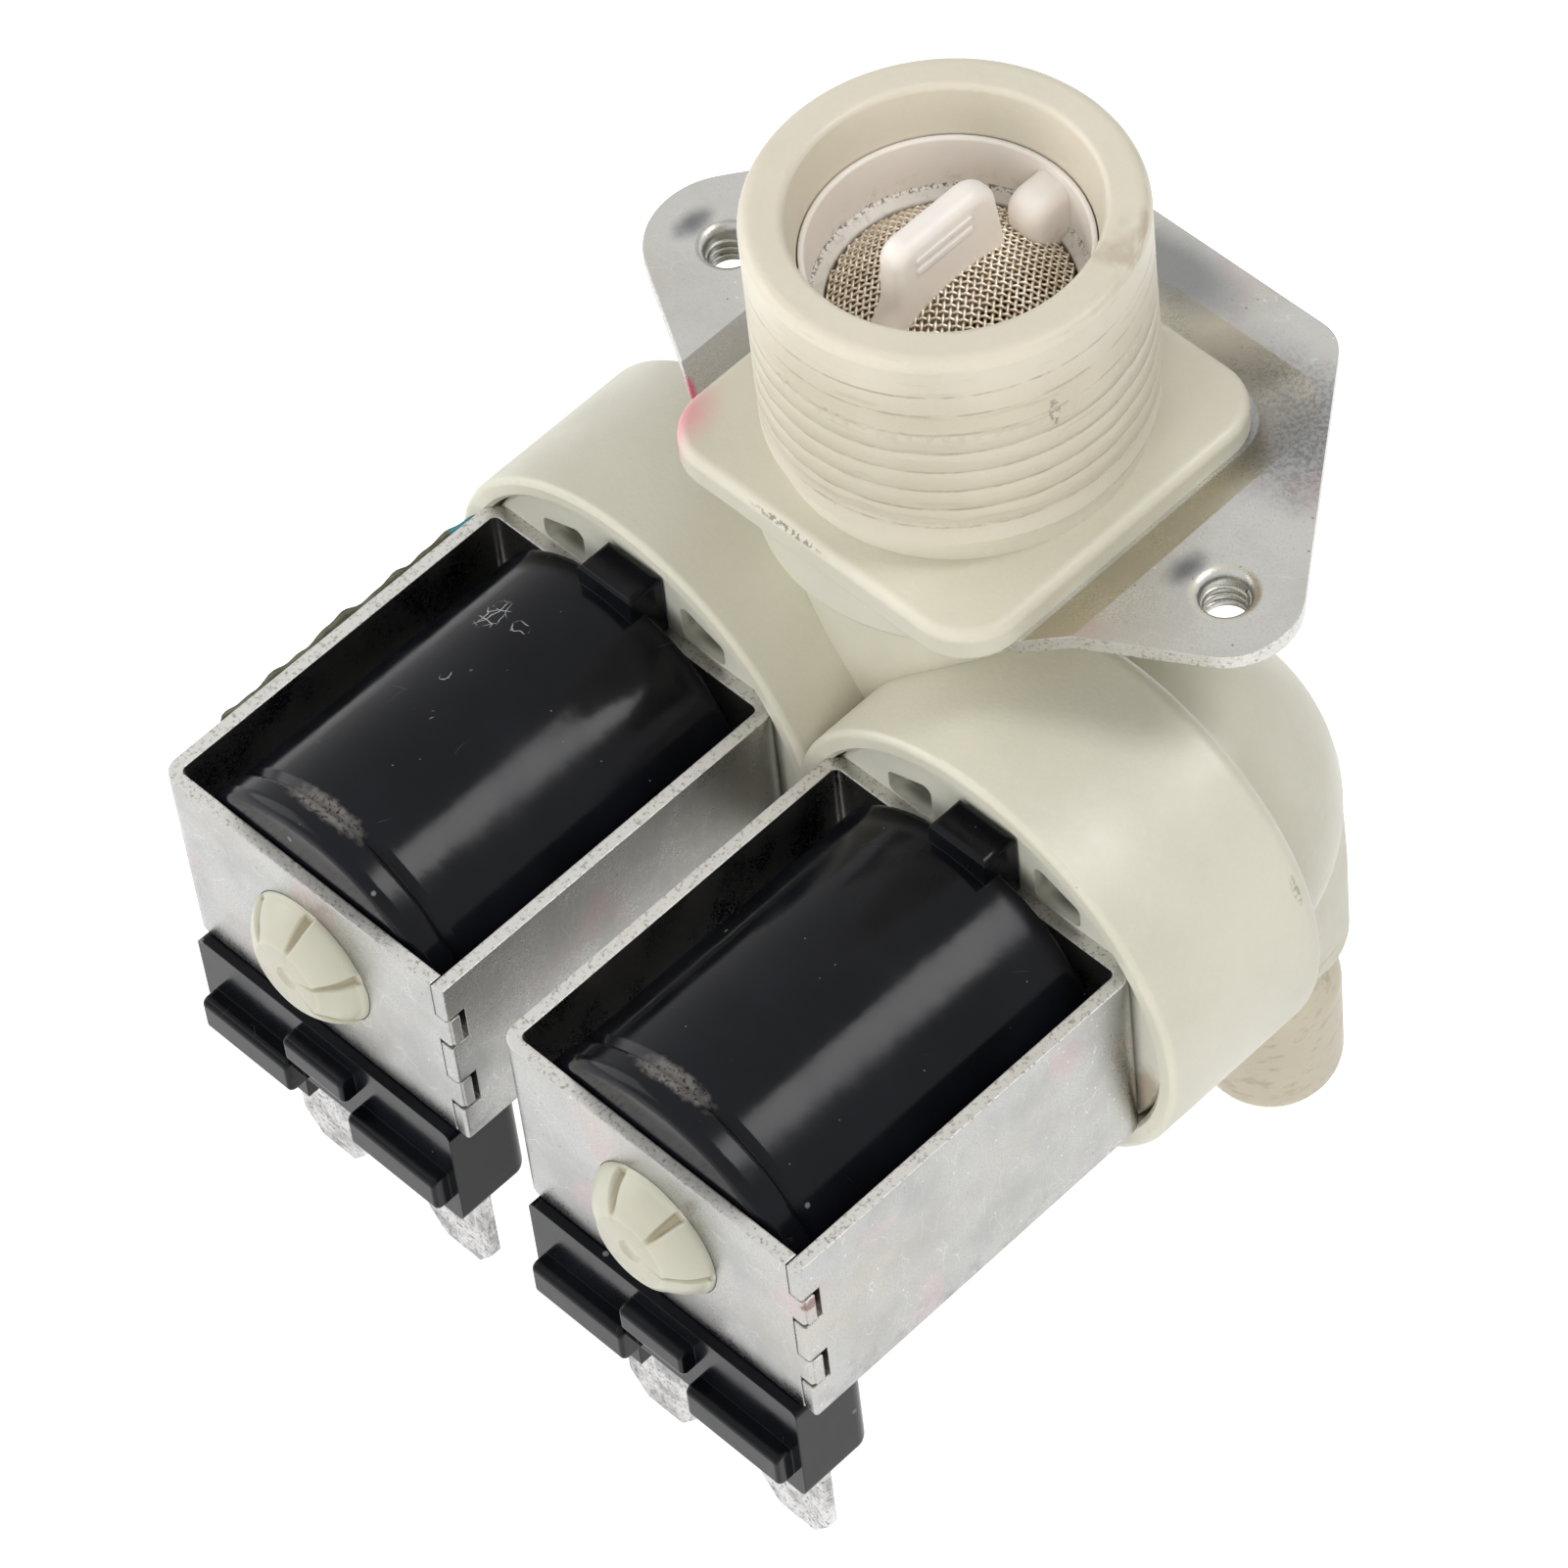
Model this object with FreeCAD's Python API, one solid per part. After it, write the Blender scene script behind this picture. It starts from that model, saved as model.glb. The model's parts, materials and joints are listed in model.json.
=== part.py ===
import FreeCAD, Part
import math
import os
from FreeCAD import Vector

# Double water inlet valve for a washing machine, in millimetres.
# Z runs up along the inlet, X from the left coil to the right one, and Y from the coils' front
# plates back to the outlets. The origin is midway between the bracket's holes, where their tapped
# walls begin under the rounded mouths; the solids are built about the inlet's axis and the ears'
# top plane, and are moved to that origin at the end.

# Inlet spigot, which carries a G 3/4 hose nut, and the square flange under it
thread_radius = 13.1
thread_foot_z = 3.5
rim_z = 21.0
rim_edge = 0.9
neck_radius = 12.3
bore_radius = 9.6
bore_mouth_radius = 10.2
bore_mouth_z = 17.3
bore_lip = 0.5
filter_ledge_z = 9.0
throat_radius = 7.5
throat_floor_z = -4.0
flange_side = 28.8
flange_corner = 4.2
flange_top_z = 1.0
flange_thickness = 2.2
flange_edge = 0.8

# Boss between the flange and the two drums, with the groove that takes the bracket's fork
boss_top_radius = 14.1
boss_foot_radius = 10.2
boss_foot_z = -24.0
boss_collar_depth = 3.1
boss_collar_edge = 0.5
boss_waist_radius = 12.6
fork_slot = 24.6
fork_slot_corner = 3.0
fork_clearance = 0.1

# Mounting bracket, laid out about the inlet's axis, which stands in front of the line of the holes
inlet_y = -0.8
bracket_sheet = 1.2
bracket_step = 1.2
bracket_ramp = 2.8
pocket_clearance = 0.3
pocket_corner = 4.0
bracket_front_x = 12.0
bracket_front_y = -11.6
ear_tip_x = {"left": 31.2, "right": 29.9}
ear_tip_y = -0.8
ear_corner = {"left": 6.0, "right": 5.1}
bracket_back_x = {"left": 15.0, "right": 13.5}
bracket_back_y = 21.5
back_corner = 3.0
screw_pitch = 44.8
screw_hole_radius = 1.65
screw_collar_wall = 0.95
screw_collar_length = 2.2
screw_mouth = 0.8

# Inlet filter
filter_clearance = 0.1
filter_wall = 0.4
filter_top_z = 17.25
filter_ring_wall = 1.3
filter_ring_height = 0.8
filter_ring_slope = 0.45
filter_ring_z = 13.0
mesh_sheet = 0.3
mesh_rise = 3.6
filter_bar_depth = 1.4

# Pull fin of the filter, which runs out into a flared foot in front, and the stub behind it
fin_sheet = 2.1
fin_round = 0.9
fin_x = 0.05
fin_top_z = 21.2
fin_foot_y = -8.0
fin_foot_z = 13.2
fin_waist_y = -5.6
fin_waist_z = 16.4
fin_waist_round = 2.5
fin_head_front_y = -5.3
fin_head_back_y = 3.6
fin_back_y = 4.8
fin_front_corner = 1.5
fin_back_corner = 2.2
grip_rib_proud = 0.16
grip_rib_height = 0.45
grip_rib_front_y = -3.7
grip_rib_back_y = 1.3
grip_rib_tops = (19.9, 18.95)
stub_corner = 1.6
stub_sheet = 3.0
stub_round = 1.0
stub_x = 0.6
stub_front_y = 5.7
stub_top_z = 16.6

# Coils: height, the plane in which their rear plates bear on the covers, and the gap between the yokes
coil_axis_z = -25.1
coil_seat_y = -16.2
yoke_gap = 5.2
yoke_sheet = 1.0
yoke_inside_length = 29.0
yoke_height = 16.4
yoke_bend_radius = 0.5
yoke_hole_radius = 5.95
tip_hole_radius = 5.15
seam_gap = 0.12
finger_height = 2.6
finger_low_gap = 0.45
finger_relief = 0.6
finger_proud = 0.15
finger_tops = (-3.3, -10.2)

# Guide tube, flux bushes, bobbin and winding
tube_radius = 5.05
tube_bore_radius = 4.2
bush_radius = 5.9
bush_clearance = 0.1
bush_length = 9.0
bobbin_clearance = 0.15
bobbin_wall = 1.2
bobbin_flange = 1.0
bobbin_end_gap = 0.2
winding_depth = 3.3
winding_gap = 0.1

# Moulded coil jacket with its connector block
jacket_wall = 1.4
jacket_side_gap = 0.2
jacket_ring_proud = 0.25
jacket_ring_length = 2.2
jacket_ring_edge = 0.9
jacket_groove = 0.35
jacket_rear_gap = 0.8
lug_width = 5.0
lug_x = 0.9
lug_top = 13.9
lug_edge = 0.5
block_side_gap = 0.2
block_proud = 0.8
block_depth = 6.2
block_drop = 9.9
block_gap = 0.2
block_edge = 0.6
block_back_edge = 1.2
rail_proud = 1.4
rail_height = 3.3
rail_below_yoke = 5.1
rail_edge = 0.6
rail_inner_half = 3.0
rail_end_inset = 0.9
key_half_width = 2.9
key_proud = 1.3
key_height = 2.6
key_below_yoke = 1.7
block_notch_height = 2.4

# Spade terminals
spade_width = 6.3
spade_sheet = 0.8
spade_pitch = 12.6
spade_centre_x = 1.2
spade_back = 2.9
spade_reach = 11.1
spade_root = 6.0
spade_tip_drop = 2.0
spade_tip_inset = 1.5
spade_corner = 0.4

# Drums of the body, from the rim that surrounds the rear plate to the back wall
drum_wall = 1.6
drum_edge = 1.4
drum_rim_edge = 0.5
rim_stand = 0.9
recess_land = 1.2
recess_lead = 0.3
cover_clearance = 0.25
cover_plate = 2.2
cover_ring = 3.15
control_depth = 3.4
bead_thickness = 1.4
bead_ledge = 2.6
chamber_depth = 4.2
drum_floor = 2.7
seat_bore_radius = 4.4
seat_wall = 1.2
duct_radius = 3.0
duct_y = -6.5
duct_sump = 0.6
cross_radius = 2.2
cross_drop = 4.6

# Windows in the cover plates, beside the upright through the coil's axis
window_inner_x = 4.6
window_outer_x = 8.6
window_low_z = 8.4
window_high_z = 11.9
window_depth = 1.2
window_corner = 0.6

# Snap tip on the end of the guide tube
tip_base_radius = 5.4
tip_length = 2.9
tip_disc_radius = 3.15
tip_shoulder = 0.4
tip_bulge_radius = 4.9
tip_bulge_height = 1.1
tip_bulge_round = 1.6
tip_lobes = 6
tip_groove_foot = 0.16
tip_groove_mouth = 0.8
tip_groove_depth = 0.9
tip_dimple_radius = 0.9
tip_dimple_depth = 0.4
tip_turn = {"left": 20.0, "right": -5.0}

# Diaphragm and its insert
web_thickness = 0.8
web_inset = 0.2
bead_width = 2.0
diaphragm_edge_clearance = 0.2
insert_stem_radius = 3.8
insert_hole_clearance = 0.3
insert_flange_radius = 8.0
insert_flange = 1.0
insert_foot = 1.8
nozzle_radius = 1.5
nozzle_height = 0.8
pilot_radius = 0.6
bleed_radius = 0.4
bleed_at = 6.6

# Plunger, its seal and its spring
plunger_radius = 3.9
plunger_length = 26.0
plunger_travel = 2.6
plunger_edge = 0.4
plunger_groove_width = 1.2
plunger_groove_depth = 0.8
seal_radius = 1.9
seal_length = 3.0
seal_proud = 0.6
seal_gap = 0.05
stop_margin = 0.3
stop_bore_radius = 3.0
spring_pocket_radius = 2.6
spring_pocket_depth = 4.0
spring_length = 9.0
spring_radius = 1.9
spring_wire_radius = 0.25
spring_turns = 6
spring_end_gap = 0.1

# Rear chambers and hose spigots
dome_radius = 13.5
dome_wall = 1.6
dome_centre_y = -2.0
outlet_y = 9.3
outlet_shoulder_z = -33.6
outlet_shoulder_radius = 5.55
outlet_ridge_radius = 5.85
outlet_ridge_top_z = -42.0
outlet_ridge_foot_z = -50.4
outlet_neck_radius = 4.15
outlet_neck_foot_z = -54.3
outlet_head_radius = 5.2
outlet_end_z = -66.8
outlet_round = 1.8
outlet_end_round = 3.0
outlet_bore_radius = 3.1
outlet_bore_top_z = -31.0

# Pitch, radii and widths that follow from the sizes above
pocket_half = flange_side / 2 + pocket_clearance
jacket_bore_radius = bush_radius + bobbin_clearance + bobbin_wall + winding_depth + 2 * winding_gap
jacket_radius = jacket_bore_radius + jacket_wall
yoke_inside_width = 2 * (jacket_radius + jacket_ring_proud + jacket_side_gap)
coil_pitch = yoke_inside_width + 2 * yoke_sheet + yoke_gap
recess_radius = (coil_pitch - recess_land) / 2
drum_radius = recess_radius + drum_wall
control_radius = recess_radius - cover_clearance - cover_ring
chamber_radius = recess_radius - bead_ledge
block_half_width = yoke_inside_width / 2 - block_side_gap

# Stations along Y that follow from the sizes above
yoke_back_y = coil_seat_y - yoke_sheet
yoke_front_y = yoke_back_y - yoke_inside_length
plate_face_y = yoke_front_y - yoke_sheet
drum_rim_y = coil_seat_y - rim_stand
control_top_y = coil_seat_y + cover_plate
bead_front_y = control_top_y + control_depth
ledge_y = bead_front_y + bead_thickness
chamber_floor_y = ledge_y + chamber_depth
drum_back_y = chamber_floor_y + drum_floor
web_front_y = bead_front_y + web_inset
web_back_y = web_front_y + web_thickness
insert_front_y = web_front_y - insert_flange
nozzle_y = insert_front_y - nozzle_height
seal_face_y = nozzle_y - seal_gap
plunger_back_y = seal_face_y - seal_proud
plunger_front_y = plunger_back_y - plunger_length
stop_y = plunger_front_y - plunger_travel - stop_margin
tube_end_y = plunger_front_y - spring_length + spring_pocket_depth
flange_foot_z = flange_top_z - flange_thickness
groove_height = bracket_sheet + fork_clearance
jacket_front_y = yoke_front_y + bobbin_end_gap
jacket_back_y = yoke_back_y - jacket_rear_gap
half_yoke = yoke_height / 2


def flat(u, v):
    """Point in the XY plane."""
    return Vector(u, v, 0)


def upright(u, v):
    """Point in the XZ plane."""
    return Vector(u, 0, v)


def sideways(u, v):
    """Point in the YZ plane."""
    return Vector(0, u, v)


def outline(points, place):
    """Closed wire through (u, v, radius) corners, each rounded by its radius."""
    corners = []
    for i, (u, v, radius) in enumerate(points):
        here = Vector(u, v, 0)
        back = Vector(points[i - 1][0], points[i - 1][1], 0) - here
        ahead_point = points[(i + 1) % len(points)]
        ahead = Vector(ahead_point[0], ahead_point[1], 0) - here
        if radius == 0:
            corners.append((here, here, here))
            continue
        back.normalize()
        ahead.normalize()
        half_angle = back.getAngle(ahead) / 2
        inward = (back + ahead).normalize()
        reach = radius / math.tan(half_angle)
        middle = here + inward * (radius / math.sin(half_angle) - radius)
        corners.append((here + back * reach, middle, here + ahead * reach))
    edges = []
    for i, (start, middle, end) in enumerate(corners):
        following = corners[(i + 1) % len(corners)][0]
        if (end - start).Length > 1e-6:
            arc = Part.Arc(*(place(p.x, p.y) for p in (start, middle, end)))
            edges.append(arc.toShape())
        if (following - end).Length > 1e-6:
            edges.append(Part.LineSegment(place(end.x, end.y), place(following.x, following.y)).toShape())
    return Part.Wire(edges)


def prism(points, place, start, depth):
    """Outline moved to start and extruded by depth."""
    face = Part.Face(outline(points, place))
    face.translate(start)
    return face.extrude(depth)


def lathe_y(points):
    """Profile of (radius, y, corner) points turned about the Y axis."""
    return Part.Face(outline(points, flat)).revolve(Vector(0, 0, 0), Vector(0, 1, 0), 360)


def lathe_z(points):
    """Profile of (radius, z, corner) points turned about the Z axis."""
    return Part.Face(outline(points, upright)).revolve(Vector(0, 0, 0), Vector(0, 0, 1), 360)


def rod_y(radius, start, end):
    return Part.makeCylinder(radius, end - start, Vector(0, start, 0), Vector(0, 1, 0))


def rod_z(radius, low, high, x=0.0, y=0.0):
    return Part.makeCylinder(radius, high - low, Vector(x, y, low), Vector(0, 0, 1))


def ring_y(outer, inner, start, end):
    return rod_y(outer, start, end).cut(rod_y(inner, start, end))


def box(low, high):
    size = Vector(*high) - Vector(*low)
    return Part.makeBox(size.x, size.y, size.z, Vector(*low))


def rounded_square(half_x, half_y, corner):
    """Corner list of a rounded rectangle about the origin."""
    signs = ((-1, -1), (1, -1), (1, 1), (-1, 1))
    return [(sx * half_x, sy * half_y, corner) for sx, sy in signs]


def round_top(shape, top_z, radius):
    """Round the outer edges that lie in the plane z = top_z."""
    edges = [e for e in shape.Edges if abs(e.BoundBox.ZMin - top_z) + abs(e.BoundBox.ZMax - top_z) < 1e-4]
    return shape.makeFillet(radius, edges)


def spigot_shell():
    """Threaded spigot's outer form, with its plain neck, as one turned solid."""
    return lathe_z([
        (0, flange_foot_z, 0),
        (neck_radius, flange_foot_z, 0),
        (neck_radius, thread_foot_z - (thread_radius - neck_radius), 0),
        (thread_radius, thread_foot_z, 0),
        (thread_radius, rim_z, rim_edge),
        (bore_mouth_radius, rim_z, bore_lip),
        (bore_radius, bore_mouth_z, 0),
        (0, bore_mouth_z, 0),
    ])


def flange_plate():
    half = flange_side / 2
    plate = prism(rounded_square(half, half, flange_corner), flat,
                  Vector(0, 0, flange_foot_z), Vector(0, 0, flange_thickness))
    return round_top(plate, flange_top_z, flange_edge)


def boss():
    """Tapered round boss under a rounded collar, notched above it to take the bracket's fork."""
    groove_foot_z = flange_foot_z - groove_height
    collar_foot_z = groove_foot_z - boss_collar_depth
    taper = lathe_z([
        (0, boss_foot_z, 0),
        (boss_foot_radius, boss_foot_z, 0),
        (boss_waist_radius, collar_foot_z, 0),
        (boss_top_radius, collar_foot_z, boss_collar_edge),
        (boss_top_radius, groove_foot_z, 0),
        (0, groove_foot_z, 0),
    ])
    half = fork_slot / 2 - fork_clearance
    waist = prism([(-half, -boss_top_radius, 0), (half, -boss_top_radius, 0),
                   (half, half, fork_slot_corner), (-half, half, fork_slot_corner)],
                  flat, Vector(0, 0, groove_foot_z), Vector(0, 0, groove_height))
    waist = waist.common(rod_z(boss_top_radius, groove_foot_z, flange_foot_z))
    return taper.fuse(waist)


def drum_shell():
    """Drum about a coil's axis: rounded rim in front, plain wall, rounded back edge."""
    return lathe_y([
        (0, drum_rim_y, 0),
        (drum_radius, drum_rim_y, drum_rim_edge),
        (drum_radius, drum_back_y, drum_edge),
        (0, drum_back_y, 0),
    ])


def drum_hollow():
    """Recess for the cover and the inlet chamber around the seat, less the seat's tube."""
    recess = lathe_y([
        (0, drum_rim_y - drum_rim_edge, 0),
        (recess_radius + recess_lead, drum_rim_y - drum_rim_edge, 0),
        (recess_radius + recess_lead, drum_rim_y, 0),
        (recess_radius, drum_rim_y + recess_lead, 0),
        (recess_radius, ledge_y, 0),
        (0, ledge_y, 0),
    ])
    chamber = rod_y(chamber_radius, ledge_y, chamber_floor_y)
    tube = rod_y(seat_bore_radius + seat_wall, web_back_y, chamber_floor_y)
    return recess.fuse(chamber).cut(tube)


def dome(radius):
    """Rear chamber's round back, behind the drum's back wall."""
    return lathe_y([
        (0, drum_back_y, 0),
        (radius, drum_back_y, 0),
        (radius, dome_centre_y + radius, radius),
        (0, dome_centre_y + radius, 0),
    ])


def outlet_spigot():
    """Hose spigot with two rounded ridges and a waist between them, hanging from its rear chamber."""
    head_top_z = outlet_neck_foot_z - (outlet_head_radius - outlet_neck_radius)
    neck_top_z = outlet_ridge_foot_z - (outlet_ridge_radius - outlet_neck_radius)
    return lathe_z([
        (0, outlet_end_z, 0),
        (outlet_head_radius, outlet_end_z, outlet_end_round),
        (outlet_head_radius, head_top_z, outlet_round),
        (outlet_neck_radius, outlet_neck_foot_z, 0),
        (outlet_neck_radius, neck_top_z, 0),
        (outlet_ridge_radius, outlet_ridge_foot_z, outlet_round),
        (outlet_ridge_radius, outlet_ridge_top_z, outlet_round),
        (outlet_shoulder_radius, outlet_shoulder_z, 0),
        (outlet_shoulder_radius, outlet_shoulder_z + outlet_shoulder_radius, outlet_shoulder_radius * 0.9),
        (0, outlet_shoulder_z + outlet_shoulder_radius, 0),
    ])


def water_ways():
    """Inlet bore and throat, the duct down from it and the cross channel into both drums."""
    bore = rod_z(bore_radius, filter_ledge_z, bore_mouth_z)
    throat = rod_z(throat_radius, throat_floor_z, filter_ledge_z)
    cross_z = coil_axis_z + cross_drop
    duct = rod_z(duct_radius, cross_z - cross_radius - duct_sump, throat_floor_z, 0, duct_y)
    reach = coil_pitch / 2 - seat_bore_radius - 2 * seat_wall
    cross = Part.makeCylinder(cross_radius, 2 * reach, Vector(-reach, duct_y, cross_z), Vector(1, 0, 0))
    return bore.fuse([throat, duct, cross])


def valve_body():
    """One moulding: inlet spigot, flange, boss, both drums, rear chambers and hose spigots."""
    solids = [flange_plate(), boss()]
    hollows = [water_ways()]
    for side_x in (-coil_pitch / 2, coil_pitch / 2):
        seat = Vector(side_x, 0, coil_axis_z)
        solids += [drum_shell().translated(seat), dome(dome_radius).translated(seat)]
        solids.append(outlet_spigot().translated(Vector(side_x, outlet_y, 0)))
        hollows += [drum_hollow().translated(seat), dome(dome_radius - dome_wall).translated(seat)]
        hollows.append(rod_y(seat_bore_radius, web_back_y, drum_back_y).translated(seat))
        hollows.append(rod_z(outlet_bore_radius, outlet_end_z, outlet_bore_top_z, side_x, outlet_y))
    body = spigot_shell().fuse(solids)
    for hollow in hollows:
        body = body.cut(hollow)
    return body.removeSplitter()


def pocket_solid(top_z, foot_z):
    """Square pocket with gently sloping sides, open to the front."""
    wires = []
    for z, reach in ((top_z, pocket_half + bracket_ramp), (foot_z, pocket_half)):
        corners = [(-reach, -2 * pocket_half, 0), (reach, -2 * pocket_half, 0),
                   (reach, reach, pocket_corner), (-reach, reach, pocket_corner)]
        wire = outline(corners, flat)
        wire.translate(Vector(0, 0, z))
        wires.append(wire)
    return Part.makeLoft(wires, True, True)


def screw_collar():
    """Extruded collar under a tapped hole."""
    radius = screw_hole_radius + screw_collar_wall
    return rod_z(radius, -bracket_sheet - screw_collar_length, -bracket_sheet / 2)


def screw_hole():
    """Tapped hole with its drawn-in, rounded mouth."""
    foot_z = -bracket_sheet - screw_collar_length
    blank = rod_z(screw_hole_radius + screw_mouth, foot_z - 1, 0)
    wall = lathe_z([
        (screw_hole_radius, foot_z - 1, 0),
        (screw_hole_radius + 2 * screw_mouth, foot_z - 1, 0),
        (screw_hole_radius + 2 * screw_mouth, 0, 0),
        (screw_hole_radius, 0, screw_mouth),
    ])
    return blank.cut(wall)


def mounting_bracket():
    """Fork of plated sheet: two raised ears with tapped holes and a stepped-down pocket for the flange."""
    halves = {side: [
        (bracket_front_x, bracket_front_y, 0),
        (ear_tip_x[side], ear_tip_y, ear_corner[side]),
        (bracket_back_x[side], bracket_back_y, back_corner),
    ] for side in ("left", "right")}
    corners = halves["right"] + [(-x, y, radius) for x, y, radius in reversed(halves["left"])]
    foot_z = -bracket_step - bracket_sheet
    blank = prism(corners, flat, Vector(0, 0, foot_z), Vector(0, 0, -foot_z))
    low_floor = pocket_solid(-bracket_sheet, foot_z)
    sheet = blank.common(box((-60, -60, -bracket_sheet), (60, 60, 0))).fuse(blank.common(low_floor))
    sheet = sheet.cut(pocket_solid(0, -bracket_step))
    slot_half = fork_slot / 2
    slot = prism([(-slot_half, bracket_front_y * 2, 0), (slot_half, bracket_front_y * 2, 0),
                  (slot_half, slot_half, fork_slot_corner), (-slot_half, slot_half, fork_slot_corner)],
                 flat, Vector(0, 0, foot_z), Vector(0, 0, -foot_z))
    sheet = sheet.cut(slot)
    for sign in (-1, 1):
        place = Vector(sign * screw_pitch / 2, -inlet_y, 0)
        sheet = sheet.fuse(screw_collar().translated(place)).cut(screw_hole().translated(place))
    return sheet.removeSplitter()


def mesh_edge_z():
    return filter_ring_z - filter_ring_height


def mesh_radius():
    return bore_radius - filter_clearance - filter_ring_wall


def fin_slot(clearance):
    """Upright slot of the fin's section, through the mesh."""
    half = fin_sheet / 2 + clearance
    return box((fin_x - half, -bore_radius, filter_ledge_z),
               (fin_x + half, fin_back_y + clearance, fin_top_z + 1))


def filter_cup():
    """Thin sleeve in the bore with a ring over the mesh."""
    outer = bore_radius - filter_clearance
    ring_foot_z = mesh_edge_z() - mesh_sheet
    return lathe_z([
        (mesh_radius(), ring_foot_z, 0),
        (outer - filter_wall, ring_foot_z, 0),
        (outer - filter_wall, filter_ledge_z, 0),
        (outer, filter_ledge_z, 0),
        (outer, filter_top_z, 0.1),
        (outer - filter_wall, filter_top_z, 0.2),
        (outer - filter_wall, filter_ring_z, 0),
        (mesh_radius(), filter_ring_z - filter_ring_slope, 0.2),
    ])


def pull_fin(foot_z):
    """Fin with a rounded ridge, a flared front foot and two grip ribs on each face."""
    fin = prism([
        (fin_foot_y, foot_z, 0),
        (fin_foot_y, fin_foot_z, 0),
        (fin_waist_y, fin_waist_z, fin_waist_round),
        (fin_head_front_y, fin_top_z, fin_front_corner),
        (fin_head_back_y, fin_top_z, fin_back_corner),
        (fin_back_y, foot_z, 0),
    ], sideways, Vector(fin_x - fin_sheet / 2, 0, 0), Vector(fin_sheet, 0, 0))
    ridge_z = fin_top_z - fin_front_corner
    ridge_edges = [e for e in fin.Edges if e.BoundBox.XLength < 1e-4 and e.BoundBox.ZMax > ridge_z]
    fin = fin.makeFillet(fin_round, ridge_edges)
    half = fin_sheet / 2 + grip_rib_proud
    ribs = [prism([
        (grip_rib_front_y, top - grip_rib_height, grip_rib_height * 0.4),
        (grip_rib_back_y, top - grip_rib_height, grip_rib_height * 0.4),
        (grip_rib_back_y, top, grip_rib_height * 0.4),
        (grip_rib_front_y, top, grip_rib_height * 0.4),
    ], sideways, Vector(fin_x - half, 0, 0), Vector(2 * half, 0, 0)) for top in grip_rib_tops]
    return fin.fuse(ribs)


def knuckle_stub():
    """Rounded stub that joins the sleeve's back to the ring."""
    outer = bore_radius - filter_clearance
    stub = prism([
        (stub_front_y, mesh_edge_z(), 0),
        (stub_front_y, stub_top_z, stub_corner),
        (outer + 1, stub_top_z, 0),
        (outer + 1, mesh_edge_z(), 0),
    ], sideways, Vector(stub_x - stub_sheet / 2, 0, 0), Vector(stub_sheet, 0, 0))
    top_edges = [e for e in stub.Edges if e.BoundBox.XLength < 1e-4 and e.BoundBox.ZMax > stub_top_z - 0.01]
    stub = stub.makeFillet(stub_round, top_edges)
    return stub.common(rod_z(outer - filter_wall / 2, filter_ledge_z, stub_top_z + 1))


def inlet_filter():
    """Filter: cup with its ring, a bar under the mesh, the pull fin and the stub."""
    outer = bore_radius - filter_clearance
    bar_top_z = mesh_edge_z() - mesh_sheet - 0.1
    bar_low_z = bar_top_z - filter_bar_depth
    bar = box((fin_x - fin_sheet / 2, -outer, bar_low_z), (fin_x + fin_sheet / 2, outer, bar_top_z))
    bar = bar.common(rod_z(outer - filter_wall / 2, bar_low_z, bar_top_z))
    return filter_cup().fuse([bar, pull_fin(bar_top_z), knuckle_stub()]).removeSplitter()


def filter_mesh():
    """Domed disc of woven wire, resting in the cup and slit where the fin and stub pass."""
    edge = mesh_radius() - 0.05
    foot_z = mesh_edge_z() - mesh_sheet
    ball_radius = (edge ** 2 + mesh_rise ** 2) / (2 * mesh_rise)
    centre_z = mesh_edge_z() + mesh_rise - ball_radius
    outer = Part.makeSphere(ball_radius, Vector(0, 0, centre_z))
    inner = Part.makeSphere(ball_radius, Vector(0, 0, centre_z - mesh_sheet))
    disc = rod_z(edge, foot_z, foot_z + mesh_sheet + mesh_rise).common(outer).cut(inner)
    half = stub_sheet / 2 + 0.05
    stub_gap = box((stub_x - half, stub_front_y - 0.05, foot_z - 1),
                   (stub_x + half, bore_radius, stub_top_z))
    return disc.cut(fin_slot(0.05)).cut(stub_gap)


def corner_seam():
    """Cuts that part the front plate from the right side plate, around the front plate's fingers."""
    side_x = yoke_inside_width / 2
    outer_x = side_x + yoke_sheet
    notch_y = yoke_front_y + finger_relief
    cuts = []
    tab_top = half_yoke
    for top in finger_tops:
        high = half_yoke + top
        low = high - finger_height
        cuts.append(box((side_x - seam_gap, plate_face_y, high), (side_x, yoke_front_y, tab_top)))
        cuts.append(box((side_x, yoke_front_y, low), (outer_x, notch_y, high)))
        cuts.append(box((side_x, plate_face_y, high), (outer_x, notch_y, high + seam_gap)))
        cuts.append(box((side_x, plate_face_y, low - finger_low_gap), (outer_x, notch_y, low)))
        tab_top = low
    cuts.append(box((side_x - seam_gap, plate_face_y, -half_yoke), (side_x, yoke_front_y, tab_top)))
    return cuts


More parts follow.
